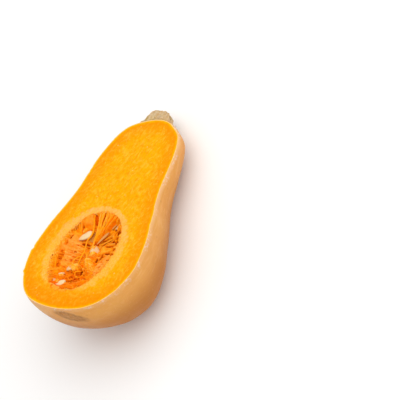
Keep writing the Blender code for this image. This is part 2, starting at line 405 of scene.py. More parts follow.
def give(tree, socket, value):
    """A link to the socket, or a plain value in it."""
    if isinstance(value, bpy.types.NodeSocket):
        tree.links.new(value, socket)
    else:
        socket.default_value = value


def add(tree, kind, values=None, **settings):
    """A new node with settings, and values or links for its inputs, by their names or numbers."""
    node = tree.nodes.new(kind)
    for label, value in settings.items():
        setattr(node, label, value)
    for label, value in (values or {}).items():
        give(tree, node.inputs[label], value)
    return node


def rgba(colour):
    """A colour with its alpha, as a socket takes it."""
    return (*tuple(colour)[:3], 1.0)


def ramp(tree, share, stops):
    """A ramp of greys or colours. stops are (place, value) pairs."""
    node = add(tree, "ShaderNodeValToRGB", {"Fac": share})
    elements = node.color_ramp.elements
    while len(elements) < len(stops):
        elements.new(0.5)
    for element, (place, value) in zip(elements, stops):
        element.position = place
        element.color = (value, value, value, 1.0) if isinstance(value, (int, float)) else rgba(value)
    return node.outputs["Color"]


# Numbers of the colour sockets of a mix node.
MIX_FACTOR, MIX_A, MIX_B, MIX_RESULT = 0, 6, 7, 2


def mix(tree, share, first, second):
    """A blend of two colours, each a socket or a colour."""
    node = add(tree, "ShaderNodeMix", {MIX_FACTOR: share}, data_type="RGBA", blend_type="MIX")
    for socket, value in ((MIX_A, first), (MIX_B, second)):
        linked = isinstance(value, bpy.types.NodeSocket)
        give(tree, node.inputs[socket], value if linked else rgba(value))
    return node.outputs[MIX_RESULT]


def maths(tree, operation, first, second):
    """One sum of two numbers, each a socket or a number."""
    return add(tree, "ShaderNodeMath", {0: first, 1: second}, operation=operation).outputs[0]


def vector_maths(tree, operation, first, second):
    """One sum of two vectors, each a socket or a vector."""
    return add(tree, "ShaderNodeVectorMath", {0: first, 1: second}, operation=operation).outputs[0]


def times(tree, first, second):
    """The product of two numbers."""
    return maths(tree, "MULTIPLY", first, second)


def plus(tree, first, second):
    """The sum of two numbers."""
    return maths(tree, "ADD", first, second)


def attribute(tree, label, output="Fac"):
    """A value that the mesh has at each point."""
    return add(tree, "ShaderNodeAttribute", attribute_name=label).outputs[output]


def spread(tree, value, low, high, to_low=0.0, to_high=1.0):
    """The value, moved smoothly from one range to another and kept inside it."""
    ranges = {"From Min": low, "From Max": high, "To Min": to_low, "To Max": to_high}
    node = add(tree, "ShaderNodeMapRange", {"Value": value, **ranges}, interpolation_type="SMOOTHSTEP")
    return node.outputs["Result"]


def shared_group(name, inputs, fill):
    """The shader node group of that name, made when it is first asked for. Its output is one mask."""
    if name in bpy.data.node_groups:
        return bpy.data.node_groups[name]
    tree = bpy.data.node_groups.new(name, "ShaderNodeTree")
    tree.interface.new_socket("Place", in_out="INPUT", socket_type="NodeSocketVector")
    for label, value in inputs.items():
        socket = tree.interface.new_socket(label, in_out="INPUT", socket_type="NodeSocketFloat")
        socket.default_value = value
    tree.interface.new_socket("Mask", in_out="OUTPUT", socket_type="NodeSocketFloat")
    start = tree.nodes.new("NodeGroupInput")
    end = tree.nodes.new("NodeGroupOutput")
    tree.links.new(fill(tree, start.outputs), end.inputs["Mask"])
    return tree


# Size of the slow bends of the streaks, as noise per millimetre, and how far they bend.
BEND_SCALE = 0.03
BEND_REACH = (14.0, 14.0, 14.0)


def fill_grain(tree, inputs):
    """Fine streaks that run along the squash, as its vessels do when they are cut lengthwise."""
    length = maths(tree, "DIVIDE", 1.0, inputs["Length"])
    width = maths(tree, "DIVIDE", 1.0, inputs["Width"])
    scale = add(tree, "ShaderNodeCombineXYZ", {"X": length, "Y": width, "Z": width}).outputs[0]
    slow = {"Vector": inputs["Place"], "Scale": BEND_SCALE, "Detail": 1.0}
    bend = add(tree, "ShaderNodeTexNoise", slow).outputs["Color"]
    bent = vector_maths(tree, "MULTIPLY", bend, BEND_REACH)
    place = vector_maths(tree, "MULTIPLY", vector_maths(tree, "ADD", inputs["Place"], bent), scale)
    fine = {"Vector": place, "Scale": 1.0, "Detail": 2.5, "Roughness": 0.6}
    streak = add(tree, "ShaderNodeTexNoise", fine).outputs["Fac"]
    return times(tree, spread(tree, streak, 0.48, 0.66), inputs["Amount"])


def fill_mottling(tree, inputs):
    """Soft patches, a few millimetres or centimetres wide."""
    scale = maths(tree, "DIVIDE", 1.0, inputs["Patch Width"])
    noise = {"Vector": inputs["Place"], "Scale": scale, "Detail": 4.0, "Roughness": 0.6}
    patch = add(tree, "ShaderNodeTexNoise", noise).outputs["Fac"]
    return times(tree, spread(tree, patch, 0.34, 0.66), inputs["Amount"])


def fill_speckles(tree, inputs):
    """Small round dots, thinly strewn."""
    scale = maths(tree, "DIVIDE", 1.0, inputs["Spacing"])
    cells = add(tree, "ShaderNodeTexVoronoi", {"Vector": inputs["Place"], "Scale": scale, "Randomness": 1.0})
    dot = spread(tree, cells.outputs["Distance"], 0.28, 0.1)
    red = add(tree, "ShaderNodeSeparateColor", {"Color": cells.outputs["Color"]}).outputs["Red"]
    return times(tree, dot, maths(tree, "LESS_THAN", red, inputs["Share"]))


def use_group(tree, group, values):
    """A shader node group in a material, with values or links for its inputs. Returns its mask."""
    return add(tree, "ShaderNodeGroup", values, node_tree=group).outputs["Mask"]


def streaks(tree, place, length, width, amount=1.0):
    """Mask of streaks along the squash, with their length and width in millimetres."""
    group = shared_group("Lengthwise Grain", {"Length": 6.0, "Width": 1.2, "Amount": 0.5}, fill_grain)
    return use_group(tree, group, {"Place": place, "Length": length, "Width": width, "Amount": amount})


def mottling(tree, place, width, amount=1.0):
    """Mask of soft patches of a width in millimetres."""
    group = shared_group("Soft Mottling", {"Patch Width": 20.0, "Amount": 1.0}, fill_mottling)
    return use_group(tree, group, {"Place": place, "Patch Width": width, "Amount": amount})


def speckles(tree, place, spacing, share):
    """Mask of round dots: their spacing in millimetres and the share of places that have one."""
    group = shared_group("Strewn Speckles", {"Spacing": 3.0, "Share": 0.4}, fill_speckles)
    return use_group(tree, group, {"Place": place, "Spacing": spacing, "Share": share})


def round_zero(tree, mask, height):
    """A mask from 0 to 1, moved down by a half and scaled to a height."""
    return times(tree, maths(tree, "SUBTRACT", mask, 0.5), height)


def layered(tree, base, *layers):
    """The base under layers of (mask, share, colour): each covers a share of it where its mask is 1."""
    for mask, share, colour in layers:
        base = mix(tree, times(tree, mask, share), base, colour)
    return base


def part_of(tree, place, axis):
    """One coordinate of a place, in millimetres."""
    return add(tree, "ShaderNodeSeparateXYZ", {"Vector": place}).outputs[axis]


def new_material(name):
    """A material with its Principled shader. Returns the material, its tree and the shader."""
    material = bpy.data.materials.new(name)
    material.use_nodes = True
    tree = material.node_tree
    return material, tree, tree.nodes["Principled BSDF"]


def give_colour(tree, shader, base, roughness):
    """The base colour and the roughness, both of which change over the surface."""
    tree.links.new(base, shader.inputs["Base Color"])
    tree.links.new(roughness, shader.inputs["Roughness"])


def give_shine(shader, level, colour):
    """How strong the shine is, and its colour where it is seen straight on."""
    shader.inputs["Specular IOR Level"].default_value = level
    shader.inputs["Specular Tint"].default_value = rgba(colour)


def soft_inside(shader, weight, radius):
    """Light that travels a little way inside the piece, red the farthest."""
    shader.inputs["Subsurface Weight"].default_value = weight
    shader.inputs["Subsurface Radius"].default_value = (1.0, 0.35, 0.1)
    shader.inputs["Subsurface Scale"].default_value = radius


def give_bump(tree, shader, height, distance, strength):
    """Small relief from a mask. distance is its height in metres."""
    bump = add(tree, "ShaderNodeBump", {"Height": height, "Distance": distance, "Strength": strength})
    tree.links.new(bump.outputs["Normal"], shader.inputs["Normal"])


# Turn of the streaks in the flesh against the squash's length.
GRAIN_TURN = math.radians(14)
# Bands of the cut face: where each starts and where it is full, in millimetres from the rind.
DEEP_BAND = (22.0, 4.0)
GRAIN_BAND = (1.0, 9.0)
PORE_BAND = (1.0, 4.0)
YELLOW_BAND = (3.6, 0.6)
CREAM_BAND = (1.0, 0.25)
# Bands across the squash, in millimetres from the blossom end.
BULB_END_BAND = (34.0, 14.0)
FULL_GRAIN_BAND = (16.0, 44.0)
RING_START_BAND = (21.0, 29.0)
RING_PALE_BAND = (60.0, 100.0)
# Outer and inner edge of the ring: 0 is the hollow's rim and 1 the ring's usual outer edge.
RING_OUTER_EDGE = (1.25, 0.8)
RING_INNER_EDGE = (0.18, -0.05)

BULB_END_ORANGE = srgb(255, 138, 0)
# Colour of the painted glints: pale dots that stand for wet highlights on the flesh.
PAINTED_GLINT = srgb(255, 214, 140)
RING_FIBRES = srgb(255, 196, 112)
RING_NEAR_STEM = srgb(255, 180, 96)
RING_EDGE = srgb(255, 158, 60)
CREAM_LINE = srgb(252, 208, 140)
FLESH_SHINE = srgb(255, 190, 60)


def ring_round_hollow(tree, settings, base, place, small_patches):
    """The base with the pale, dappled and fibrous ring, and with the darker line at the hollow's rim."""
    along = part_of(tree, place, "X")
    reach = plus(tree, attribute(tree, "ring"), round_zero(tree, small_patches, 0.5))
    mask = spread(tree, reach, *RING_OUTER_EDGE)
    mask = times(tree, mask, spread(tree, along, *RING_START_BAND))
    mask = times(tree, mask, spread(tree, small_patches, 0.0, 1.0, 0.95, 0.6))
    dapples = mottling(tree, place, 2.2)
    mask = times(tree, mask, spread(tree, dapples, 0.35, 0.75, 1.0, 0.62))
    fibres = mottling(tree, place, 1.8, 0.5)
    colour = mix(tree, fibres, settings.ring_colour, RING_FIBRES)
    colour = mix(tree, spread(tree, along, *RING_PALE_BAND), colour, RING_NEAR_STEM)
    edge = spread(tree, reach, *RING_INNER_EDGE)
    return layered(tree, mix(tree, mask, base, colour), (edge, 0.5, RING_EDGE))


def flesh_material(settings):
    """Cut flesh: cream line and yellow band at the rind, pale grain inside, pale ring at the hollow, and a
    few painted glints.
    """
    material, tree, shader = new_material("squash_flesh")
    place = attribute(tree, "place", "Vector")
    edge = attribute(tree, "edge_mm")
    patches = mottling(tree, place, 26.0)
    small_patches = mottling(tree, place, 7.0)
    turned = add(tree, "ShaderNodeMapping", {"Vector": place, "Rotation": (0.0, 0.0, GRAIN_TURN)}).outputs[0]
    long_grain = streaks(tree, turned, 8.0, 3.4)
    short_grain = streaks(tree, turned, 3.2, 1.3, 0.8)
    pores = streaks(tree, turned, 3.6, 1.7, 0.6)
    # Painted glints: a few pale dots for wet highlights on the inner flesh.
    painted_glints = speckles(tree, place, 3.4, 0.07)
    along = part_of(tree, place, "X")
    wavy_edge = plus(tree, edge, round_zero(tree, small_patches, 1.2))

    inside = spread(tree, wavy_edge, *GRAIN_BAND, 0.1, 1.0)
    inside = times(tree, inside, spread(tree, along, *FULL_GRAIN_BAND, 0.65, 1.0))
    grain = maths(tree, "MAXIMUM", times(tree, long_grain, 0.8), short_grain)
    grain = times(tree, grain, spread(tree, small_patches, 0.1, 0.8, 0.3, 1.0))
    grain = times(tree, grain, times(tree, inside, 0.8))
    base = layered(
        tree,
        settings.flesh_colour,
        (patches, 0.3, settings.rim_colour),
        (spread(tree, wavy_edge, *DEEP_BAND), 0.72, settings.flesh_deep_colour),
        (spread(tree, along, *BULB_END_BAND), 0.7, BULB_END_ORANGE),
        (grain, 1.0, settings.flesh_pale_colour),
        (pores, spread(tree, edge, *PORE_BAND), settings.flesh_deep_colour),
        # Painted glints, as pale highlight dots.
        (painted_glints, times(tree, inside, 0.45), PAINTED_GLINT),
        (spread(tree, wavy_edge, *YELLOW_BAND), 0.8, settings.rim_colour),
    )
    base = ring_round_hollow(tree, settings, base, place, small_patches)
    base = layered(tree, base, (spread(tree, edge, *CREAM_BAND), 0.8, CREAM_LINE))

    give_colour(tree, shader, base, spread(tree, long_grain, 0.0, 1.0, 0.42, 0.55))
    give_shine(shader, 0.03, FLESH_SHINE)
    give_bump(tree, shader, plus(tree, grain, times(tree, small_patches, 0.6)), 0.0002, 0.7)
    soft_inside(shader, 0.25, 0.003)
    return material


# Bands of the rind by height, in millimetres against the cut face.
# Painted shade on the lower rind: the height where it starts and where it is full.
RIND_SHADE_BAND = (-8.0, -40.0)
NEAR_FACE_BAND = (-6.0, -0.4)
FLECK_BAND = (-7.0, -1.5)
# Where the rind near the cut face pales, in millimetres from the blossom end.
PALING_BAND = (40.0, 140.0)
# Strength of the blossom scar where its cork starts and is full, and on both sides of its dark edge.
SCAR_CORK_BAND = (0.3, 0.62)
SCAR_EDGE_OUTSIDE = (0.22, 0.42)
SCAR_EDGE_INSIDE = (0.66, 0.46)

RIND_PATCHES = srgb(214, 138, 66)
RIND_STREAKS = srgb(238, 180, 114)
RIND_FINE_STREAKS = srgb(240, 184, 120)
# Colour of the painted shade on the lower rind.
RIND_PAINTED_SHADE = srgb(178, 108, 40)
RIND_SPECKS = srgb(244, 204, 152)
RIND_DOTS = srgb(170, 108, 54)
RIND_NEAR_FACE = srgb(246, 204, 152)
RIND_FLECKS = srgb(236, 208, 190)
SCAR_CORK = srgb(206, 154, 102)
SCAR_EDGE = srgb(146, 92, 50)
RIND_SHINE = srgb(255, 215, 160)


def rind_material(settings):
    """Rind: satin tan with long faint streaks, pale specks, pale flecks by the cut, the corky scar and
    painted shade lower down.
    """
    material, tree, shader = new_material("squash_rind")
    place = attribute(tree, "place", "Vector")
    edge = attribute(tree, "edge_mm")
    scar = attribute(tree, "scar")
    long_streaks = streaks(tree, place, 60.0, 5.0)
    fine_streaks = streaks(tree, place, 16.0, 1.6)
    patches = mottling(tree, place, 34.0)

    paling = spread(tree, part_of(tree, place, "X"), *PALING_BAND, 0.25, 0.55)
    small_flecks = spread(tree, mottling(tree, place, 3.0), 0.5, 0.85)
    flecks = times(tree, small_flecks, spread(tree, mottling(tree, place, 16.0), 0.45, 0.75))
    flecks = times(tree, flecks, spread(tree, edge, *FLECK_BAND))

    cork = mottling(tree, place, 3.4)
    cork_colour = mix(tree, cork, settings.scar_colour, SCAR_CORK)
    scar_mask = spread(tree, plus(tree, scar, round_zero(tree, cork, 0.35)), *SCAR_CORK_BAND)
    scar_edge = times(tree, spread(tree, scar, *SCAR_EDGE_OUTSIDE), spread(tree, scar, *SCAR_EDGE_INSIDE))
    base = layered(
        tree,
        settings.rind_colour,
        (patches, 0.35, RIND_PATCHES),
        (long_streaks, 0.3, RIND_STREAKS),
        (fine_streaks, 0.12, RIND_FINE_STREAKS),
        # Painted shade: the rind is darker lower down.
        (spread(tree, edge, *RIND_SHADE_BAND), 0.85, RIND_PAINTED_SHADE),
        (speckles(tree, place, 2.4, 0.22), 0.2, RIND_SPECKS),
        (speckles(tree, place, 5.5, 0.16), 0.22, RIND_DOTS),
        (spread(tree, edge, *NEAR_FACE_BAND), paling, RIND_NEAR_FACE),
        (flecks, 0.6, RIND_FLECKS),
        (scar_mask, 0.95, cork_colour),
        (scar_edge, 0.5, SCAR_EDGE),
    )

    roughness = plus(tree, spread(tree, patches, 0.0, 1.0, 0.4, 0.5), times(tree, scar_mask, 0.4))
    give_colour(tree, shader, base, roughness)
    give_shine(shader, 0.22, RIND_SHINE)
    relief = plus(tree, times(tree, long_streaks, 0.6), times(tree, times(tree, cork, scar_mask), 2.5))
    give_bump(tree, shader, plus(tree, relief, times(tree, fine_streaks, 0.25)), 0.0002, 0.6)
    soft_inside(shader, 0.12, 0.002)
    return material


# Depth below the cut face where the hollow's wall starts to turn deeper orange with painted shade, and where
# it is darkest.
WALL_SHADE_DEPTHS = (-1.0, 8.0)
WALL_UPPER = srgb(255, 150, 40)
WALL_MIDDLE = srgb(236, 104, 8)
WALL_LOWEST_SHADED = srgb(190, 70, 0)
WALL_FIBRES = srgb(255, 172, 84)


def wall_material(settings):
    """Wall of the hollow: pale at the top, deeper orange with painted shade lower down, with fibres on it."""
    material, tree, shader = new_material("squash_hollow_wall")
    fibres = mottling(tree, attribute(tree, "place", "Vector"), 1.6)
    # Deeper orange and painted shade of the hollow, darker with depth.
    depth = spread(tree, attribute(tree, "deep_mm"), *WALL_SHADE_DEPTHS)
    stops = [(0.0, settings.ring_colour), (0.3, WALL_UPPER), (0.75, WALL_MIDDLE), (1.0, WALL_LOWEST_SHADED)]
    base = layered(tree, ramp(tree, depth, stops), (fibres, 0.45, WALL_FIBRES))
    tree.links.new(base, shader.inputs["Base Color"])
    shader.inputs["Roughness"].default_value = 0.38
    give_bump(tree, shader, fibres, 0.0004, 0.8)
    soft_inside(shader, 0.2, 0.002)
    return material


# The darkest pulp colour is painted shade deep in the gaps.
PULP_DARKEST_SHADE = srgb(176, 62, 0)
PULP_DEEP = srgb(250, 128, 2)
PULP_LIGHTEST = srgb(255, 196, 84)
PULP_PALE = srgb(255, 160, 82)
PULP_REDDISH = srgb(252, 110, 0)
PULP_GRAIN = srgb(255, 170, 40)
PULP_SHINE = srgb(255, 170, 60)


def pulp_colours(tree, settings, place, tone):
    """Colour of the pulp by its tone, which holds painted shade, with its mottling and its fine grain."""
    mottle = mottling(tree, place, 3.0)
    grain = mottling(tree, place, 1.0)
    # Low tones are painted shade in the gaps. High tones are the pale crests and strings, partly painted
    # light.
    stops = [
        (0.0, PULP_DARKEST_SHADE),
        (0.12, settings.crevice_shade_colour),
        (0.34, PULP_DEEP),
        (0.56, settings.pulp_colour),
        (0.78, settings.strand_colour),
        (1.0, PULP_LIGHTEST),
    ]
    base = ramp(tree, plus(tree, tone, round_zero(tree, mottle, 0.16)), stops)
    return base, mottle, grain


def finish_pulp(tree, shader, base, mottle, grain):
    """The wet look that the pulp's bed and its strings share."""
    base = layered(tree, base, (grain, 0.1, PULP_GRAIN))
    give_colour(tree, shader, base, spread(tree, mottle, 0.0, 1.0, 0.34, 0.5))
    give_shine(shader, 0.12, PULP_SHINE)
    give_bump(tree, shader, grain, 0.0003, 0.5)


def pulp_bed_material(settings):
    """Wet orange pulp, with painted shade that darkens the gaps, paler and redder in places, as its points
    say.
    """
    material, tree, shader = new_material("squash_pulp_bed")
    tone = attribute(tree, "tone")
    base, mottle, grain = pulp_colours(tree, settings, attribute(tree, "place", "Vector"), tone)
    pale = times(tree, spread(tree, tone, 0.2, 0.6), attribute(tree, "pale"))
    base = layered(tree, base, (pale, 0.6, PULP_PALE), (attribute(tree, "deep"), 0.8, PULP_REDDISH))
    finish_pulp(tree, shader, base, mottle, grain)
    soft_inside(shader, 0.1, 0.001)
    return material


def strings_material(settings):
    """Wet orange strings, each with its own tint."""
    material, tree, shader = new_material("squash_strings")
    local = add(tree, "ShaderNodeTexCoord").outputs["Object"]
    to_millimetres = {0: local, 1: (1 / MM, 1 / MM, 1 / MM)}
    place = add(tree, "ShaderNodeVectorMath", to_millimetres, operation="MULTIPLY").outputs[0]
    finish_pulp(tree, shader, *pulp_colours(tree, settings, place, attribute(tree, "tint")))
    return material


HULL_MOTTLING = srgb(232, 200, 150)
HULL_RIM = srgb(212, 158, 76)
HULL_STAIN = srgb(244, 170, 90)
HULL_SPECKS = srgb(180, 132, 78)
HULL_SHINE = srgb(255, 205, 120)


def seed_material(settings):
    """Papery hull: cream, orange tan on some seeds for the pulp's stain and painted shade, tan along the rim,
    and stained by the pulp at the tip.
    """
    material, tree, shader = new_material("squash_seed_hull")
    place = attribute(tree, "place", "Vector")
    mottle = mottling(tree, place, 3.0)
    fine = mottling(tree, place, 0.8)
    base = layered(
        tree,
        settings.hull_colour,
        (mottle, 0.35, HULL_MOTTLING),
        # Orange tan: the pulp's stain, with painted shade and painted orange reflected light.
        (attribute(tree, "dull"), 1.0, settings.stain_and_shade_colour),
        (attribute(tree, "rim"), 0.45, HULL_RIM),
        (spread(tree, attribute(tree, "tip"), 0.35, 1.0), 0.5, HULL_STAIN),
        (fine, 0.12, HULL_SPECKS),
    )
    give_colour(tree, shader, base, spread(tree, mottle, 0.0, 1.0, 0.4, 0.6))
    give_shine(shader, 0.05, HULL_SHINE)
    give_bump(tree, shader, fine, 0.00015, 0.5)
    return material


CORK_PATCHES = srgb(190, 138, 84)
CORK_GRAIN = srgb(176, 136, 84)
CORK_DENTS = srgb(144, 100, 54)
CORK_DUST = srgb(228, 212, 184)


def stem_material(settings):
    """Dry cork: pale beige ridges, yellow-green in the hollows and brown dents."""
    material, tree, shader = new_material("squash_stem_cork")
    place = attribute(tree, "place", "Vector")
    hollow = attribute(tree, "hollow")
    mottle = mottling(tree, place, 6.0)
    fine = mottling(tree, place, 2.6)
    grain = streaks(tree, place, 9.0, 0.9)
    green = spread(tree, plus(tree, hollow, times(tree, mottle, 0.5)), 0.6, 1.1)
    base = layered(
        tree,
        settings.cork_colour,
        (mottle, 0.8, CORK_PATCHES),
        (grain, 0.35, CORK_GRAIN),
        (green, 0.6, settings.moss_colour),
        (spread(tree, hollow, 0.75, 1.0), 0.5, CORK_DENTS),
        (fine, 0.45, CORK_DUST),
    )
    give_colour(tree, shader, base, spread(tree, fine, 0.0, 1.0, 0.7, 0.9))
    give_bump(tree, shader, plus(tree, fine, grain), 0.0004, 0.8)
    return material


# Skin: its rows along the squash, the points of a row, and the height and size of its waves and of its
# dimples.
STATIONS = 240
AROUND = 150
WAVE_HEIGHT = 0.35
WAVE_SIZE = (70.0, 26.0, 26.0)
DIMPLE_HEIGHT = 0.07
DIMPLE_SIZE = 4.0
# Steps along the squash that are looked at to find where the cut face starts and ends.
PROFILE_STEPS = 40001
# A row this near the end of the cut face is left out, because the end has a row of its own.
ROW_CLEARANCE = 0.04
# Nicks in the edge of the cut face: place along the squash, side of the squash, width and depth.
EDGE_NICKS = [
    (152, 1, 2.2, 0.5), (146.5, 1, 1.8, 0.6), (57.5, 1, 1.4, 0.9), (54, 1, 1.2, -0.5),
    (31.5, 1, 1.5, -0.9), (28, 1, 2, 0.4), (124, -1, 3, 0.4), (104, -1, 2, 0.3),
]
# Blossom scar: middle, half length and half height of the flat corky patch, its slant, how ragged and
# how deep it is, and how far along the squash it can reach.
SCAR_CENTRE = np.array([1.8, -11.5, -12.5])
SCAR_HALF_LENGTH = 18.5
SCAR_HALF_HEIGHT = 8.2
SCAR_SLANT = math.radians(22)
SCAR_RAGGEDNESS = 0.12
SCAR_DEPTH = 0.7
SCAR_LIMIT = 30
# Crease from the scar down the bulb: its end, how far it bows out, its half width and its depth.
CREASE_END = np.array([9.0, -16.9, -41.9])
CREASE_BOW = 4.0
CREASE_HALF_WIDTH = 2.2
CREASE_DEPTH = 0.5
# Points of the cut face: their usual distance and how far each is shaken.
FACE_STEP = 1.35
FACE_SHAKE = 0.25
# Rows of points beside the face's outer edge and the hollow's rim, and how far the others stay away.
EDGE_STEPS = (0.4, 0.85, 1.7, 3.1)
EDGE_CLEARANCE = 0.7
RIM_STEPS = (0.5, 1.2)
RIM_CLEARANCE = 2.0
# Points of the hollow's rim, the circle on which its raggedness is looked up, how far the rim closes
# in at the blossom end, and at which turn.
RIM_POINTS = 440
RAGGED_CIRCLE = 7
RIM_CLOSING = 4.0
RIM_CLOSING_TURN = math.radians(3)
# Cut face: how far it lies below the rind's edge, the height and size of its small waves, and how far
# it sinks at the hollow's rim.
FACE_DROP = 0.1
FACE_WAVE_HEIGHT = 0.1
FACE_WAVE_SIZE = (2.6, 1.5, 1.0)
FACE_SINK_AT_RIM = 0.55
# Rows of the hollow's wall and how they crowd at the rim, then the circle on which the ridges that run
# down the wall are looked up, how much of the depth counts there, and their height.
WALL_ROWS = 34
WALL_ROW_POWER = 1.35
WALL_RIDGE_CIRCLE = 36
WALL_RIDGE_TWIST = 0.35
WALL_RIDGE_HEIGHT = 1.1
# Slots of the half's materials.
FLESH_SLOT, RIND_SLOT, WALL_SLOT = 0, 1, 2
# For the colours: the wall counts as so far from the rind, and the rind as so far out in the ring.
WALL_EDGE = 30.0
FAR_FROM_RING = 3.0


def scar_strength(points):
    """0.75 in the middle of the blossom scar and 0.25 at its edge, with a ragged outline."""
    offset = points - SCAR_CENTRE
    along, across = in_turned_axes(-offset[..., 1], offset[..., 2], -SCAR_SLANT)
    reach = np.hypot(along / SCAR_HALF_LENGTH, across / SCAR_HALF_HEIGHT)
    reach = reach + SCAR_RAGGEDNESS * rough(points, 5.0, 3, 7.0)
    return np.clip(1.5 - reach, 0.0, 1.5) / 2 * (points[..., 0] < SCAR_LIMIT)


def skin_grid():
    """Grid of point numbers of the rind, its points, how much each is scar, and the loop of its edge."""
    steps = np.linspace(0, math.pi, STATIONS + 1)
    x = BODY_LENGTH * (1 - np.cos(steps)) / 2
    fine = np.linspace(0, BODY_LENGTH, PROFILE_STEPS)
    open_part = fine[rounded_value(RADII, fine) >= axis_depth(fine)]
    first, last = open_part[0], open_part[-1]
    x = np.unique(np.concatenate([x[np.abs(x - first) > ROW_CLEARANCE], [first, last]]))
    x = x[(np.abs(x - last) > ROW_CLEARANCE) | (x == last)]
    radius = rounded_value(RADII, x)
    is_open = (x > first) & (x < last)
    with np.errstate(divide="ignore", invalid="ignore"):
        lift = np.arcsin(np.clip(np.where(is_open, axis_depth(x) / radius, 1.0), 0.0, 1.0))
    turns = np.linspace(0, 1, AROUND + 1)
    around = -lift[:, None] + (math.pi + 2 * lift[:, None]) * turns
    points = rind_points(x[:, None], around)
    points[is_open, 0, 2] = 0.0
    points[is_open, -1, 2] = 0.0
    on_edge = np.where((x == first) | (x == last))[0]
    for row in on_edge:
        points[row, :, 2] -= points[row, 0, 2] * (np.abs(turns - 0.5) == 0.5)

    axis = np.stack([x, smooth_value(BEND, x), -axis_depth(x)], -1)
    outward = unit(points - axis[:, None])
    below = fade(-points[..., 2], 0.0, 12.0)
    wave = WAVE_HEIGHT * rough(points, WAVE_SIZE, 2, 3.0) * below
    dimple = DIMPLE_HEIGHT * rough(points, DIMPLE_SIZE, 2, 11.0) * below
    scar = scar_strength(points)
    pitted = 1 + 0.5 * rough(points, 3.0, 3, 5.0)
    sunk = SCAR_DEPTH * fade(scar, 0.3, 0.55) * pitted + CREASE_DEPTH * crease_strength(points)
    points = points + outward * (wave + dimple - sunk)[..., None]
    points = nicked(points)

    index = np.zeros(points.shape[:2], int)
    kept = []
    for row in range(len(x)):
        pole = row in (0, len(x) - 1)
        count = 1 if pole else AROUND + 1 if is_open[row] else AROUND
        base = len(kept)
        index[row] = base if pole else base + np.arange(AROUND + 1) % count
        kept += [(row, k) for k in range(count)]
    rows, columns = np.array(kept).T
    inner = np.where(is_open)[0]
    loop = [index[on_edge[0], 0], *index[inner, 0], index[on_edge[1], 0], *index[inner[::-1], -1]]
    return index, points[rows, columns], scar[rows, columns], loop


def crease_strength(points):
    """A faint crease that runs from the blossom scar down the bulb."""
    line = CREASE_END - SCAR_CENTRE
    share = np.clip((points - SCAR_CENTRE) @ line / (line @ line), 0.0, 1.0)
    away = np.linalg.norm(points - SCAR_CENTRE - share[..., None] * line, axis=-1)
    away = np.abs(away - CREASE_BOW - CREASE_BOW / 2 * share)
    return np.exp(-((away / CREASE_HALF_WIDTH) ** 2)) * fade(share, 0.1, 0.4) * fade(share, 1.0, 0.7)


def nicked(points):
    """Small dents in the edge of the cut face, where the knife tore it."""
    for x, side, width, depth in EDGE_NICKS:
        near = np.exp(-(((points[..., 0] - x) / width) ** 2)) * np.exp(points[..., 2] / 3.0)
        near = near * (points[..., 1] * side > 10)
        points[..., 1] -= side * depth * near
    shiver = 0.2 * rough(points, (3.0, 40.0, 3.0), 2, 21.0) * np.exp(points[..., 2] / 2.0)
    points[..., 1] += shiver * np.sign(points[..., 1])
    return points


def rim_place(turn, outwards=0.0):
    """Flat place of the hollow's rim at a turn, moved outwards. The rim is a little ragged."""
    circle = flat_points(*ellipse(RAGGED_CIRCLE, RAGGED_CIRCLE, turn))
    ragged = 0.6 * rough(circle, 0.3, 3, 2.0) + 0.8 * rough(circle, 2.0, 2, 4.0)
    outwards = outwards + ragged - RIM_CLOSING * fade(-np.cos(turn - RIM_CLOSING_TURN), 0.87, 0.995)
    place = ellipse(RIM_HALF_LENGTH + outwards, RIM_HALF_WIDTH + outwards, turn)
    return np.stack(hollow_to_squash(*place), -1)


def rim_share(x, y, grow=0.0):
    """Share of the way from the hollow's middle to its rim. grow makes the rim larger."""
    along, across = squash_to_hollow(x, y)
    return np.hypot(along / (RIM_HALF_LENGTH + grow), across / (RIM_HALF_WIDTH + grow))


def ring_share(x, y):
    """0 on the hollow's rim, 1 on the outer edge of the pale ring."""
    inner = rim_share(x, y)
    along, across = in_turned_axes(x - RING_CENTRE[0], y - RING_CENTRE[1], RING_TURN)
    outer = np.hypot(along / RING_HALF_LENGTH, across / RING_HALF_WIDTH)
    return (inner - 1) / np.maximum(inner / np.maximum(outer, 1e-6) - 1, 0.02)


def distance_to_loop(places, loop):
    """Distance from each flat place to the closed line through the loop's points."""
    ends = np.roll(loop, -1, axis=0)
    nearest = np.full(len(places), np.inf)
    for start, end in zip(loop, ends):
        line = end - start
        share = np.clip((places - start) @ line / max(line @ line, 1e-9), 0.0, 1.0)
        away = np.linalg.norm(places - start - share[:, None] * line, axis=1)
        nearest = np.minimum(nearest, away)
    return nearest


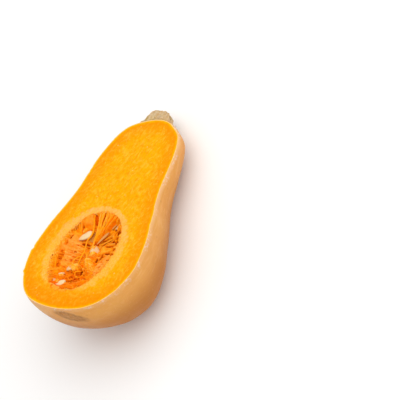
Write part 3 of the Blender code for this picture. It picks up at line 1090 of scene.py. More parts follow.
def face_layout(outline, rim):
    """Flat points of the cut face and their triangles, between its outline and the hollow's rim."""
    inward = np.roll(outline, -1, axis=0) - np.roll(outline, 1, axis=0)
    inward = unit(np.stack([-inward[:, 1], inward[:, 0]], -1))
    middle = outline.mean(0)
    inward *= np.sign(((middle - outline) * inward).sum(1, keepdims=True))
    places = [outline, rim]
    for step in EDGE_STEPS:
        places.append((outline + inward * step)[:: 2 if step > 1 else 1])
    turns = full_turn(RIM_POINTS)
    for step in RIM_STEPS:
        places.append(rim_place(turns, step)[::2])
    low, high = outline.min(0), outline.max(0)
    across = np.arange(low[1], high[1], FACE_STEP * math.sqrt(3) / 2)
    inner = []
    for row, y in enumerate(across):
        start = low[0] + (row % 2) * FACE_STEP / 2
        inner += [(x, y) for x in np.arange(start, high[0], FACE_STEP)]
    inner = np.array(inner)
    shake = np.random.default_rng(8)
    inner += shake.uniform(-FACE_SHAKE, FACE_SHAKE, inner.shape)
    away = distance_to_loop(inner, outline[::2])
    left, right = face_sides(outline, inner[:, 0])
    keep = (away > EDGE_STEPS[-1] + EDGE_CLEARANCE) & (inner[:, 1] < left) & (inner[:, 1] > right)
    keep &= rim_share(*inner.T, RIM_CLEARANCE) > 1
    places.append(inner[keep])
    flat = np.concatenate(places)
    count, rim_count = len(outline), len(rim)
    edges = [(k, (k + 1) % count) for k in range(count)]
    edges += [(count + k, count + (k + 1) % rim_count) for k in range(rim_count)]
    found = delaunay_2d_cdt([Vector(p) for p in flat], edges, [], 0, 1e-5)
    source = [numbers[0] for numbers in found[3]]
    triangles = np.array([[source[c] for c in face] for face in found[2]])
    centres = flat[triangles].mean(1)
    left, right = face_sides(outline, centres[:, 0])
    inside = (centres[:, 1] < left) & (centres[:, 1] > right)
    polygon = (rim - rim.mean(0)).T
    offset = (centres - rim.mean(0)).T
    angle = np.arctan2(*polygon[::-1])
    order = np.argsort(angle)
    reach = np.hypot(*polygon)[order]
    limit = np.interp(np.arctan2(*offset[::-1]), angle[order], reach, period=2 * math.pi)
    return flat, triangles[inside & (np.hypot(*offset) > limit)]


def face_sides(outline, x):
    """The largest and the smallest Y of the cut face at each x."""
    first, last = outline[:, 0].argmin(), outline[:, 0].argmax()
    rolled = np.roll(outline, -first, axis=0)
    split = (last - first) % len(outline)
    one, other = rolled[: split + 1], np.vstack([rolled[split:], rolled[:1]])[::-1]
    a, b = np.interp(x, one[:, 0], one[:, 1]), np.interp(x, other[:, 0], other[:, 1])
    return np.maximum(a, b), np.minimum(a, b)


def wall_grid(rim):
    """Points of the hollow's wall, from the rim down to the bottom, with ridges that run down it."""
    turns = full_turn(RIM_POINTS)
    top = math.acos(-HOLLOW_CENTRE[2] / HOLLOW_HALF_HEIGHT)
    polar = top + (math.pi - top) * np.linspace(0, 1, WALL_ROWS + 1)[1:] ** WALL_ROW_POWER
    smooth_rim = ellipse(RIM_HALF_LENGTH, RIM_HALF_WIDTH, turns)
    ragged = rim - np.stack(hollow_to_squash(*smooth_rim), -1)
    rows = []
    for angle in polar[:-1]:
        reach = math.sin(angle)
        z = HOLLOW_CENTRE[2] + HOLLOW_HALF_HEIGHT * math.cos(angle)
        x, y = hollow_to_squash(*ellipse(HOLLOW_HALF_LENGTH * reach, HOLLOW_HALF_WIDTH * reach, turns))
        points = np.stack([x, y, np.full_like(x, z)], -1)
        circle = flat_points(*ellipse(WALL_RIDGE_CIRCLE, WALL_RIDGE_CIRCLE, turns))
        circle[:, 2] = WALL_RIDGE_TWIST * z
        crest = ridges(circle, 2.6, 2, 9.0) - 0.35
        towards = unit(flat_points(HOLLOW_CENTRE[0] - x, HOLLOW_CENTRE[1] - y))
        share = fade(-z, 0.3, 3.0) * (1 - fade(-z, 16.0, 22.0))
        points[:, :2] += ragged * (1 - fade(-z, 0.0, 4.0))
        rows.append(points + towards * (WALL_RIDGE_HEIGHT * crest * share)[:, None])
    bottom = np.array([[HOLLOW_CENTRE[0], HOLLOW_CENTRE[1], HOLLOW_CENTRE[2] - HOLLOW_HALF_HEIGHT]])
    return rows, bottom


def make_half(settings):
    """Rind, cut face and wall of the hollow as one closed mesh."""
    skin_index, skin, scar, loop = skin_grid()
    outline = skin[loop][:, :2]
    turns = full_turn(RIM_POINTS)
    rim = rim_place(turns)
    flat, triangles = face_layout(outline, rim)
    new_flat = flat[len(outline):]
    away = distance_to_loop(new_flat, outline)
    share = ring_share(*new_flat.T)

    numbers = np.concatenate([np.array(loop), len(skin) + np.arange(len(new_flat))])
    rim_numbers = numbers[len(outline) : len(outline) + RIM_POINTS]
    height = FACE_WAVE_HEIGHT * rough(flat_points(*new_flat.T), FACE_WAVE_SIZE, 2, 30.0)
    sink = FACE_SINK_AT_RIM * fade(share, 0.16, -0.02)
    level = -FACE_DROP + height * fade(away, 0.5, 2.5) - sink
    face_points = np.column_stack([new_flat, level])
    rows, bottom = wall_grid(rim)
    wall = np.concatenate([*rows, bottom])
    points = np.concatenate([skin, face_points, wall])
    wall_start = len(skin) + len(face_points)

    skin_faces = grid_faces(skin_index)
    face_faces = upwards(points, numbers[triangles])
    ring = np.append(rim_numbers, rim_numbers[0])
    index = [ring, *closed_rings(wall_start, len(rows), RIM_POINTS)]
    index.append(np.full(RIM_POINTS + 1, len(points) - 1))
    wall_faces = grid_faces(np.array(index))
    if not looks_at(points, wall_faces[0], HOLLOW_CENTRE):
        wall_faces = [face[::-1] for face in wall_faces]
    faces = skin_faces + face_faces + wall_faces
    choice = [RIND_SLOT] * len(skin_faces) + [FLESH_SLOT] * len(face_faces) + [WALL_SLOT] * len(wall_faces)

    counts = (len(skin), len(face_points), len(wall))
    attributes = {
        "place": points,
        "edge_mm": joined(counts, np.minimum(skin[:, 2], 0.0), away, WALL_EDGE),
        "ring": joined(counts, FAR_FROM_RING, share, 0.0),
        "scar": joined(counts, scar, 0.0, 0.0),
        "deep_mm": joined(counts, 0.0, 0.0, -wall[:, 2]),
    }
    materials = [flesh_material(settings), rind_material(settings), wall_material(settings)]
    half = mesh_object("flesh_and_rind", points, faces, materials, attributes, choice)
    press_on_table(half)
    sharpen_loop(half, loop)
    finish_piece(half, "flesh_and_rind", "squash_half")


def upwards(points, triangles):
    """The triangles, each turned so that it faces up from the cut."""
    a, b, c = (points[triangles[:, k]] for k in range(3))
    up = np.cross(b - a, c - a)[:, 2] > 0
    return [list(map(int, t if ok else t[::-1])) for t, ok in zip(triangles, up)]


def press_on_table(obj):
    """Where the rind rests it is pressed flat."""
    for vertex in obj.data.vertices:
        vertex.co.z = max(vertex.co.z, 0.0)


def sharpen_loop(obj, loop):
    """The knife's edge: the shading breaks where the face meets the rind."""
    pairs = {frozenset((int(a), int(b))) for a, b in zip(loop, loop[1:] + loop[:1])}
    for edge in obj.data.edges:
        if frozenset(edge.vertices) in pairs:
            edge.use_edge_sharp = True


# Bed of the pulp: points of a ring, rings of its top and of its bowl, the gap to the hollow's wall, its
# lowest level and the tone of its bowl.
PULP_TURNS = 440
PULP_RINGS = 130
PULP_BOWL_RINGS = 12
WALL_GAP = 0.25
PULP_LOWEST = -15.0
BOWL_TONE = 0.1
# Fan of folds at the stem end: its narrow end, its length to the ring, its level at both ends, and
# the height of its folds by heading in degrees.
FAN_APEX = (11.0, 3.3)
FAN_LENGTH = 33.0
FAN_LOW_LEVEL = -9.4
FAN_HIGH_LEVEL = -1.0
FAN_FOLDS = [
    (-18, -0.8), (-14, 0.5), (-10.5, -0.7), (-7, 0.5), (-4.2, -0.5), (-1.5, 0.8), (1, -0.5), (3.5, 0.9),
    (6, 0.1), (8.7, -1.5), (11, 0.5), (13, 0.9), (15, 0), (17, 1), (19.5, 0),
]
# Row of torn holes near the wall: first and last turn in degrees, share of the way to the wall, half
# of the row's width in the same measure, depth, and the number of holes that a full turn would have.
TORN_ROWS = [(-74, -30, 0.84, 0.07, 3.6, 34)]
RIM_LIFT = 3.0
# Oval swellings: middle, along and across the hollow, half length, half width, turn in degrees and
# height, then how smooth, how pale and how deep an orange the pulp is there, from 0 to 1.
SWELLINGS = [
    ((-3, 21), 17, 9.5, 14, 2, 0.1, 0.8, 0),
    ((-4, -22), 14, 6.5, 8, 2, 0.1, 0.85, 0),
    ((13.5, -13), 8.5, 7.5, 20, 2.2, 0.75, 0.15, 0),
    ((31, 22.5), 9, 5.5, -38, 2.8, 0.55, 0.35, 0.2),
    ((-7.5, -7), 10.5, 5.2, 50, 2.4, 0.95, 0.1, 0),
    ((1, 3.5), 4.5, 2.2, 60, 1.8, 0.9, 0.1, 0),
    ((-28, -4), 11, 11, 0, 0.8, 0, 0, 1),
    ((-38, 6), 9, 14, 0, 1.2, 0, 0, 1),
    ((-24, 10), 9, 6, 60, 0.2, 0, 0, 0.6),
    ((35, 15.5), 6, 2.6, 35, 0, 0.6, 0, 1),
    ((22, 19), 6.5, 4, -20, 0.4, 0.2, 0, 0.7),
]
SWELL_HEIGHT, SWELL_SMOOTHNESS, SWELL_PALENESS, SWELL_DEEPNESS = 4, 5, 6, 7
# Deep gaps: middle, half length, half width, turn in degrees and depth.
GAPS = [
    ((-10.5, 25.4), 9.5, 2.4, 14, 0.9),
    ((1.5, 28.2), 4.5, 1.3, 6, 0.9),
    ((-20.5, 21.6), 4, 1.8, 28, 0.9),
    ((9, 27.4), 3, 0.8, -4, 1.6),
    ((17.8, 28.4), 3, 0.7, -18, 1.8),
    ((34.6, 15.3), 5.6, 1.7, 35, 3.6),
    ((31.5, 13.4), 1.6, 1.3, 0, 3),
    ((-16.2, -3.1), 4, 1.3, 43, 4),
    ((0.2, -8.8), 2.2, 1.4, 10, 3.6),
    ((20, -6.9), 6.2, 1.9, -25, 5.2),
    ((21.5, -8.6), 2.6, 1.4, -60, 3),
    ((9.8, 13.2), 4.8, 1.5, 100, 2.2),
    ((26.2, -17.4), 6.6, 1.9, -42, 4.6),
    ((35.1, -10.4), 2.4, 1.1, -50, 3.4),
    ((39.4, -11.6), 2.4, 0.9, -50, 3),
    ((30.4, -18.4), 3, 1.1, -52, 4.6),
    ((24.2, -21.2), 2.6, 1.4, -60, 5),
    ((20.9, -24), 3, 1.3, -62, 5),
    ((17.4, -24.6), 2.6, 1.2, -66, 5),
    ((13.8, -26.4), 2.6, 1.2, -70, 5),
    ((10.6, -24), 3, 0.8, -72, 3),
    ((8.6, -28.2), 2.4, 1.1, -74, 4.4),
    ((3, -26.4), 2.6, 0.8, -80, 2.6),
    ((17, -15), 5, 0.9, -66, 2.4),
    ((10, -19), 4.6, 0.8, -68, 2.4),
    ((4.4, -12.4), 3.4, 0.9, -24, 2.4),
    ((-6.5, 20.4), 2.2, 0.9, -69, 1),
    ((-1.2, 17.3), 2, 0.9, -69, 1),
    ((-6.4, 14.8), 2.6, 1, -69, 1.2),
    ((-10.2, 16.4), 2.6, 0.8, -69, 0.8),
    ((-13.4, 19), 2.6, 0.8, -69, 0.8),
    ((2.4, 12.5), 3, 1, -69, 1),
    ((6, 18.4), 3, 0.8, -69, 0.9),
    ((8, 7), 3.6, 1, -69, 1.3),
    ((-21.5, -1), 2.6, 0.9, 20, 0.9),
    ((-29, -9), 3, 0.9, 60, 0.8),
    ((-33, 2), 2.4, 0.9, -30, 0.7),
    ((-24, -15), 3.2, 0.9, -60, 0.8),
    ((24.5, 27), 3, 0.9, -20, 1.4),
    ((21, 23), 3.5, 0.9, 15, 1.6),
]
GAP_DEPTH = 4
# Thin skins of pulp that hang over seeds: middle, half length, half width, turn in degrees and level.
VEILS = [
    ((20.7, 20.3), 3, 1.7, -22, -4.6),
    ((-7.2, -7), 8.8, 4.2, 50, -6.6),
    ((-15.4, 4.6), 5.8, 4.8, -70, -6.3),
    ((3.4, -2.8), 4.2, 2.8, -35, -7),
    ((9.6, 0.4), 2.4, 2, 30, -6.9),
    ((-28.6, 11), 3.6, 1.6, -60, -5),
    ((-30.2, -12.6), 2.2, 1.2, -25, -4.6),
    ((-35.5, 9.5), 2.6, 2, 20, -4.2),
]
# Heading of the wrinkles and of the strings in the middle of the pulp.
WRINKLE_HEADING = math.radians(-69)
# Towards the blossom end the pulp rises and lies thinly on the cut face: the turn where it does so the
# most, the cosine of the way round from there where this starts and where it is full, and its level.
SMEAR_TURN = math.radians(206)
SMEAR_START = 0.84
SMEAR_FULL = 0.96
SMEAR_LEVEL = 0.2
# Shelves of matted strings at the wall: first and last turn in degrees, the share of the way to the
# wall where each starts and where it is full, and its level.
SHELVES = [(-80, -36, 0.74, 0.86, -1.3), (-38, -18, 0.86, 0.95, -2.2), (78, 150, 0.88, 0.94, -1.5)]


def patch(along, across, oval, grown=1.0):
    """1 in the middle of an oval patch, falling to 0 a little outside it.

    oval is a row that starts with its middle, half length, half width and turn in degrees.
    """
    middle, half_length, half_width, turn = oval[:4]
    a, c = in_turned_axes(along - middle[0], across - middle[1], math.radians(turn))
    return fade(np.hypot(a / (half_length * grown), c / (half_width * grown)), 1.25, 0.6)


def highest_patch(along, across, ovals, height):
    """The highest of some patches at each place. height is the number of a column of their rows."""
    highest = np.zeros_like(along)
    for oval in ovals:
        highest = np.maximum(highest, oval[height] * patch(along, across, oval))
    return highest


def sector(degrees, first, last, soft):
    """1 between two turns in degrees, with a soft edge on both sides."""
    return fade(degrees, first - soft, first + soft) * fade(degrees, last + soft, last - soft)


def pulp_reach():
    """Half length and half width of the pulp's top where it meets the wall."""
    rise = (-PULP_RIM_DEPTH - HOLLOW_CENTRE[2]) / (HOLLOW_HALF_HEIGHT - WALL_GAP)
    level = math.sqrt(1 - rise**2)
    return (HOLLOW_HALF_LENGTH - WALL_GAP) * level, (HOLLOW_HALF_WIDTH - WALL_GAP) * level


def pulp_polar(along, across):
    """Share of the way to the wall, and turn, of places in the hollow."""
    half_length, half_width = pulp_reach()
    share = np.clip(np.hypot(along / half_length, across / half_width), 0.0, 1.0)
    return share, np.arctan2(across / half_width, along / half_length)


def seed_mask(along, across):
    """1 over the seeds, so that the pulp stays low there."""
    mask = np.zeros_like(along)
    for middle, size, (heading, _, roll), _ in SEEDS:
        half_width = size[1] / 2 * abs(math.cos(math.radians(roll)))
        turn = heading - math.degrees(HOLLOW_TURN)
        oval = (squash_to_hollow(*middle[:2]), size[0] / 2 + 0.4, half_width + 0.6, turn)
        mask = np.maximum(mask, patch(along, across, oval))
    return mask


def pulp_surface(along, across):
    """Level of the pulp's top, its tone, and how pale and how deep an orange it is.

    The tone is 0 in gaps with painted shade, 0.5 where it is plain and 1 on pale crests. It follows the
    relief, so besides the pulp's own tones it holds painted shade and light.
    """
    share, turn = pulp_polar(along, across)
    degrees = np.degrees(turn)
    seeds = seed_mask(along, across)
    sag = PULP_RIM_DEPTH + (PULP_MIDDLE_DEPTH - PULP_RIM_DEPTH) * (1 - share**PULP_SAG_POWER)
    lumps = sum(part * np.sin(number * turn + out * share) for number, out, part in PULP_WAVES)
    level = -(sag + PULP_LUMP_HEIGHT * lumps * share * (1 - share) * 2)
    flat = flat_points(along, across)
    torn = np.zeros_like(along)
    for first, last, row, half, depth, holes in TORN_ROWS:
        inside = sector(degrees, first, last, 5)
        wander = row + 0.05 * rough(flat, 5.0, 2, 31.0)
        near = fade(np.abs(share - wander), half * 1.3, half * 0.4)
        teeth = fade(np.sin(turn * holes + 3.0 * rough(flat, 5.0, 2, 33.0)), -0.75, 0.2)
        torn = np.maximum(torn, depth * inside * near * teeth)
    level += RIM_LIFT * fade(share, 0.6, 0.97) * (1 - seeds)
    turned = flat_points(*in_turned_axes(along, across, WRINKLE_HEADING))
    sway = 2.0 * flat_points(rough(flat, 8.0, 2, 1.0), rough(flat, 8.0, 2, 2.0))
    wrinkles = ridges(turned + sway, (8.0, 2.0, 1.0), 2, 4.0)
    radial = ridges(np.stack([np.cos(turn) * 24, np.sin(turn) * 24, share * 3.0], -1), 2.0, 2, 8.0)
    near_wall = fade(share, 0.66, 0.9)
    crest = wrinkles * (1 - near_wall) + radial * near_wall
    lines = ridges(turned + 0.6 * sway, (7.0, 1.15, 1.0), 1, 70.0) * (1 - near_wall) + 0.6 * near_wall
    broad = rough(flat, 6.5, 3, 12.0)
    fine = rough(flat, 1.5, 2, 14.0)

    columns = (SWELL_HEIGHT, SWELL_SMOOTHNESS, SWELL_PALENESS, SWELL_DEEPNESS)
    swell, smooth, pale, deep = (highest_patch(along, across, SWELLINGS, column) for column in columns)
    relief = (crest - 0.55) + 0.5 * (lines - 0.6) + 0.9 * broad + 0.25 * fine

    out = np.hypot(along - FAN_APEX[0], across - FAN_APEX[1])
    heading = np.degrees(np.arctan2(across - FAN_APEX[1], along - FAN_APEX[0]))
    low, high = FAN_FOLDS[0][0], FAN_FOLDS[-1][0]
    fan = fade(heading, low - 3, low + 1) * fade(heading, high + 2.5, high - 0.5) * fade(out, 1.0, 6.0)
    fan *= 1 - 0.9 * seeds
    bent_heading = heading + 1.6 * rough(flat, 9.0, 2, 40.0)
    fold = smooth_value(FAN_FOLDS, bent_heading) * fade(out, 2.0, 14.0)
    slope = FAN_LOW_LEVEL + (FAN_HIGH_LEVEL - FAN_LOW_LEVEL) * np.minimum(out / FAN_LENGTH, 1.0)
    fan_level = slope + fold + 0.2 * fine

    plain = relief * (1 - 0.85 * smooth) * (1 - 0.75 * seeds) - 0.6 * seeds + swell * (1 - 0.8 * seeds)
    edge = fade(share, 1.0, 0.985)
    level = (level + plain * edge) * (1 - fan) + fan_level * fan
    shelf = np.zeros_like(along)
    for first, last, start, full, top in SHELVES:
        here = sector(degrees, first, last, 6) * fade(share + 0.03 * broad, start, full)
        here = here * (1 - seeds) * (1 - fan)
        plain_level = top + 0.5 * (crest - 0.5) + 0.25 * broad
        level = level + (plain_level - level) * here
        shelf = np.maximum(shelf, here)
    gap = highest_patch(along, across, GAPS, GAP_DEPTH)
    gap = np.maximum(gap * (1 - 0.6 * seeds), torn)
    level = np.maximum(level - gap, PULP_LOWEST)
    end = fade(np.cos(turn - SMEAR_TURN), SMEAR_START, SMEAR_FULL)
    thin = SMEAR_LEVEL + 0.3 * broad + 0.25 * (crest - 0.5) + 0.1 * fine
    thin -= 1.6 * fade(share + 0.03 * broad, 0.88, 0.95)
    rising = fade(share + 0.04 * broad, 0.68, 0.86) * end * (1 - seeds)
    level = level + (thin - level) * rising
    # The tone follows the relief: painted shade in the grooves, painted light on the crests, on the fan's
    # raised folds and on the shelves.
    wrinkled = (0.3 * (crest - 0.6) + 0.45 * (lines - 0.6)) * (1 - 0.7 * smooth)
    tone = 0.6 + wrinkled + 0.16 * broad + 0.08 * fine + 0.08 * pale
    tone = tone * (1 - fan) + (0.44 + 0.34 * fold + 0.12 * fine) * fan
    tone += 0.1 * shelf
    # Painted shade darkens the gaps.
    tone -= 0.8 * fade(gap, 0.0, 2.0) + 0.06 * deep - 0.16 * smooth * pale
    end_tone = 0.46 + 0.12 * (crest - 0.5) + 0.1 * fine
    tone += (end_tone - tone) * fade(share, 0.78, 0.92) * end * (1 - 0.6 * seeds)
    deep = np.maximum(deep, 0.9 * end * fade(share, 0.7, 0.85))
    ragged = 1 + 0.5 * rough(flat, 2.2, 2, 80.0)
    for *oval, top in VEILS:
        here = patch(along, across, oval, ragged)
        level = level + np.maximum(top + 0.3 * fine + 0.7 * (crest - 0.5) - level, 0.0) * here
        tone = tone + (0.8 + 0.4 * (crest - 0.5) - tone) * here
        deep = deep * (1 - 0.9 * here)
    deep = np.maximum(deep * (1 - fan), 0.4 * fan * fade(-heading, -2.0, 8.0))
    return level, np.clip(tone, 0.0, 1.0), pale * (1 - fan), deep


def pulp_bed(settings):
    """Bed of the pulp: a closed mesh whose top has folds, gaps and the crests of matted strings."""
    half_length, half_width = pulp_reach()
    turns = full_turn(PULP_TURNS)
    shares = np.linspace(0, 1, PULP_RINGS + 1)[1:, None] ** 0.8
    place = [np.append(0.0, part) for part in ellipse(half_length * shares, half_width * shares, turns)]
    level, tone, pale, deep = pulp_surface(*place)
    top = np.column_stack([*hollow_to_squash(*place), level])
    height = HOLLOW_HALF_HEIGHT - WALL_GAP
    start = math.acos((-PULP_RIM_DEPTH - HOLLOW_CENTRE[2]) / height)
    polar = start + (math.pi - start) * np.linspace(0, 1, PULP_BOWL_RINGS + 1)[1:]
    bowl = []
    for angle in polar:
        reach = math.sin(angle)
        ring = ellipse((HOLLOW_HALF_LENGTH - WALL_GAP) * reach, (HOLLOW_HALF_WIDTH - WALL_GAP) * reach, turns)
        ring_level = np.full(PULP_TURNS, HOLLOW_CENTRE[2] + height * math.cos(angle))
        bowl.append(np.column_stack([*hollow_to_squash(*ring), ring_level]))
    bowl[-1] = bowl[-1][:1]
    points = np.concatenate([top, *bowl])
    faces = capped_faces(PULP_RINGS + PULP_BOWL_RINGS - 1, PULP_TURNS)
    counts = (len(top), len(points) - len(top))
    attributes = {
        "place": points,
        "tone": joined(counts, tone, BOWL_TONE),
        "pale": joined(counts, pale, 0.0),
        "deep": joined(counts, deep, 0.0),
    }
    return mesh_object("pulp_bed", points, faces, [pulp_bed_material(settings)], attributes)


# Strings that stand out: their points, each along, across, level below the cut face and half width.
LONG_STRINGS = [
    [
        (36.5, 18.3, -1.2, 1), (32, 16, -2.6, 0.95), (28.1, 13.7, -4, 0.9),
        (22.1, 10.6, -5.2, 0.85), (18, 10.2, -5.6, 0.8), (13.8, 11, -6.2, 0.7),
        (10.6, 10.6, -6.8, 0.65), (6.5, 8.6, -7.3, 0.6), (1.7, 6.9, -7.8, 0.7), (-3, 6.6, -8.2, 0.8),
        (-7, 5.8, -8.3, 0.7), (-11.3, 3.4, -7.6, 0.45),
    ],
    [
        (41.5, 13.6, -1.2, 1.3), (37, 12, -2.7, 1.2), (30.7, 9.2, -4.1, 1.1),
        (22.7, 6.3, -5.8, 1), (15.4, 4.4, -7.2, 0.9), (10.4, 3.2, -8.2, 0.8), (6, 3, -8.4, 0.6),
        (1.9, 2, -8.6, 0.4),
    ],
    [
        (42.5, 9.6, -1.2, 1), (36.5, 8.4, -2.4, 1), (28.7, 5.9, -4.6, 0.9), (20.9, 4.4, -6.4, 0.7),
        (15.2, 3.6, -7.6, 0.5),
    ],
    [(43.3, 5, -1.2, 1.1), (37.1, 4.4, -2.2, 1), (29.6, 3.6, -4.4, 0.8), (22.2, 3, -6.2, 0.6)],
    [(44, 1.2, -1.4, 0.8), (38, 0.7, -2.2, 0.8), (31.5, 0.9, -4, 0.6), (25, 1.4, -5.8, 0.4)],
    [
        (-3, 6.6, -8.3, 0.5), (-5.5, 9.5, -8.2, 0.6), (-9, 11, -8, 0.6),
        (-13, 9.8, -7.6, 0.5), (-17, 10.5, -7, 0.4),
    ],
    [
        (1.7, 6.9, -8, 0.5), (0, 2, -7.8, 0.6), (-3.5, -2, -7, 0.7), (-8, -7, -6.4, 0.6),
        (-13.5, -12, -6.2, 0.4),
    ],
    [
        (3, 30.4, -1.5, 0.4), (-3, 30.3, -1.7, 0.65), (-9, 29.6, -1.9, 0.75),
        (-15, 27.8, -2.3, 0.6), (-20, 25, -3.4, 0.4),
    ],
    [
        (-3, 31.4, -0.9, 0.4), (-10, 30.8, -1.1, 0.65), (-16, 29.2, -1.5, 0.65),
        (-22, 26.2, -2.4, 0.5), (-26, 22.8, -3.4, 0.3),
    ],
    [
        (-10, 28, -2.8, 0.4), (-16, 26, -3, 0.6), (-22, 22.8, -3.4, 0.6),
        (-27.5, 19, -4.2, 0.4),
    ],
    [(11, 30.2, -1.4, 0.4), (4, 31.4, -1.1, 0.65), (-2, 31.9, -0.9, 0.65), (-7, 31.4, -1.1, 0.4)],
    [
        (-34, 20.6, -3, 0.3), (-36.6, 17, -3.2, 0.5), (-39, 13.2, -3.4, 0.5),
        (-40, 9, -3.8, 0.35),
    ],
    [
        (24, -17.5, -3.2, 0.5), (20, -13, -4.6, 0.6), (16, -8, -6.4, 0.5),
        (13.5, -3.5, -8, 0.4),
    ],
    [(14, -25, -3.2, 0.5), (10.5, -19, -5.2, 0.6), (7, -13, -6.8, 0.5), (4.5, -8.5, -7.8, 0.4)],
    [(27.5, -14.8, -2.6, 0.5), (23.5, -10.5, -4.6, 0.55), (20, -6.5, -6.6, 0.4)],
    [
        (-16.5, -6, -7.2, 0.5), (-19.5, -2.5, -5.6, 0.6), (-22.5, -3.6, -4.6, 0.6),
        (-24.6, -7.6, -4.2, 0.6), (-23, -11.4, -4.6, 0.6), (-19.6, -11.8, -5.4, 0.5),
    ],
    [
        (-24, 1, -6.4, 0.45), (-27.5, 1.8, -5.6, 0.55), (-29.4, -2, -5.2, 0.55),
        (-27.4, -5.2, -5.4, 0.5), (-24.6, -4.4, -6.2, 0.4),
    ],
    [
        (-29.5, -8, -5.6, 0.4), (-31.5, -11, -4.6, 0.5), (-29.5, -14.2, -4, 0.55),
        (-26, -14.6, -4.4, 0.5), (-24.4, -12, -5.4, 0.4),
    ],
    [
        (-34.5, -3, -5, 0.4), (-36.5, -6.5, -4, 0.5), (-34.5, -9.8, -3.8, 0.5),
        (-31.8, -8.8, -4.8, 0.4),
    ],
]
# Sectors of wall strings: first and last turn in degrees, number, least and greatest length, half
# width, greatest depth of the root below the cut face, and least and greatest tint.
WALL_STRINGS = [
    (-72, -8, 11, 4, 8, 0.55, 1.2, 0.5, 0.9),
    (-66, -12, 8, 2.5, 6, 0.3, 3, 0.3, 0.7),
    (56, 128, 70, 3, 6.5, 0.42, 0.8, 0.5, 0.9),
    (124, 150, 34, 4, 9, 0.5, 1, 0.4, 0.8),
    (-8, 56, 40, 2, 6, 0.34, 1, 0.45, 0.85),
    (132, 156, 24, 2, 6, 0.36, 1.2, 0.35, 0.8),
    (156, 214, 46, 2, 5, 0.34, 1.4, 0.15, 0.45),
    (214, 292, 74, 2, 6, 0.36, 1.2, 0.35, 0.85),
]
# Turns in degrees where a deep gap meets the wall, so that no string starts there.
BARE_TURNS = (-52, -36)
# Curly strings: their middle along and across the hollow, and how widely they lie about it.
CURL_MIDDLE = (-27.0, -5.0)
CURL_SPREAD = 6.0
# How much deeper in tone the curly strings are at the blossom end.
CURL_SHADE = 0.22
# Points of a long string's path for each of its points here, and of a thin string's path.
STRING_STEPS = 6
FIBRE_POINTS = 12
# A thin string starts only within this share of the way to the wall, and ends within the next one.
MATTED_START = 0.92
MATTED_END = 0.99
# Along the hollow, where the strings start to gather towards the stem.
FAN_START = 14


def on_pulp(along, across, lift):
    """Points of the squash's frame that lie over the pulp's top by lift, and the tone there, with its painted
    shade.
    """
    along, across, lift = (np.asarray(v, float) for v in (along, across, lift))
    level, tone, _, _ = pulp_surface(along, across)
    return np.stack([*hollow_to_squash(along, across), level + lift], -1), tone


def curve_through(points, count):
    """Evenly spread points on a smooth line through the given ones, each a row of numbers."""
    points = np.asarray(points, float)
    padded = np.vstack([2 * points[0] - points[1], points, 2 * points[-1] - points[-2]])
    result = []
    for at in np.linspace(0, len(points) - 1, count):
        k = min(int(at), len(points) - 2)
        t = at - k
        a, b, c, d = padded[k : k + 4]
        bend = 2 * a - 5 * b + 4 * c - d
        twist = 3 * b - a - 3 * c + d
        result.append(0.5 * (2 * b + (c - a) * t + bend * t**2 + twist * t**3))
    return np.array(result)


def long_strings():
    """The strings that stand out, with thin ones split off each."""
    chance = random.Random(41)
    paths = []
    for string in LONG_STRINGS:
        count = STRING_STEPS * len(string)
        line = curve_through(string, count)
        flat = flat_points(line[:, 0], line[:, 1])
        line[:, 0] += 0.3 * rough(flat, 4.0, 2, 3.0)
        line[:, 1] += 0.3 * rough(flat, 4.0, 2, 8.0)
        widths = line[:, 3] * (1 + 0.25 * rough(flat, 2.2, 2, 17.0))
        shade = fade(line[:, 0], -12.0, -18.0) * fade(line[:, 1], 8.0, 2.0)
        tint = 0.62 + 0.2 * rough(flat, 6.0, 2, 19.0) - 0.5 * CURL_SHADE * shade
        for k in range(3):
            shift = chance.uniform(-0.9, 0.9) * line[:, 3] if k else 0.0
            drop = chance.uniform(-0.5, 0.1) * line[:, 3] if k else 0.0
            part = chance.uniform(0.35, 0.6) if k else 1.0
            x, y = hollow_to_squash(line[:, 0], line[:, 1] + shift)
            points = np.stack([x, y, line[:, 2] + drop], -1)
            paths.append((points, widths * part, np.clip(tint + chance.uniform(-0.15, 0.15), 0, 1)))
    return paths


def wall_strings(width_factor):
    """Strings that leave the wall of the hollow and sink into the pulp."""
    chance = random.Random(17)
    reach_along, reach_across = pulp_reach()
    paths = []
    u = np.linspace(0, 1, FIBRE_POINTS)
    for first, last, count, least, most, half_width, root, low_tint, high_tint in WALL_STRINGS:
        for number in range(count):
            turn = math.radians(first + (last - first) * (number + chance.uniform(0.1, 0.9)) / count)
            length = chance.uniform(least, most)
            drift = chance.uniform(-0.1, 0.1)
            shares = chance.uniform(1.0, 1.045) - length / 38.0 * u
            angles = turn + drift * u + 0.02 * np.sin(u * chance.uniform(2, 7) + chance.uniform(0, 6))
            landed, _ = on_pulp(*ellipse(reach_along * shares, reach_across * shares, angles), 0.0)
            hang = chance.uniform(0.1, -root)
            bend = (1 - np.clip(u * chance.uniform(1.0, 1.5), 0, 1)) ** 1.5
            landed[:, 2] = hang * bend + (landed[:, 2] + chance.uniform(-0.1, 0.5)) * (1 - bend)
            widths = half_width * width_factor * chance.uniform(0.7, 1.4) * (1.2 - 0.85 * u)
            widths = widths * (1 + 0.2 * np.sin(u * 9 + number))
            tint = chance.uniform(low_tint, high_tint) + 0.3 * (1 - u) ** 2 - 0.1 * u
            if BARE_TURNS[0] < math.degrees(turn) < BARE_TURNS[1]:
                continue
            paths.append((landed, widths, np.clip(tint, 0, 1)))
    return paths


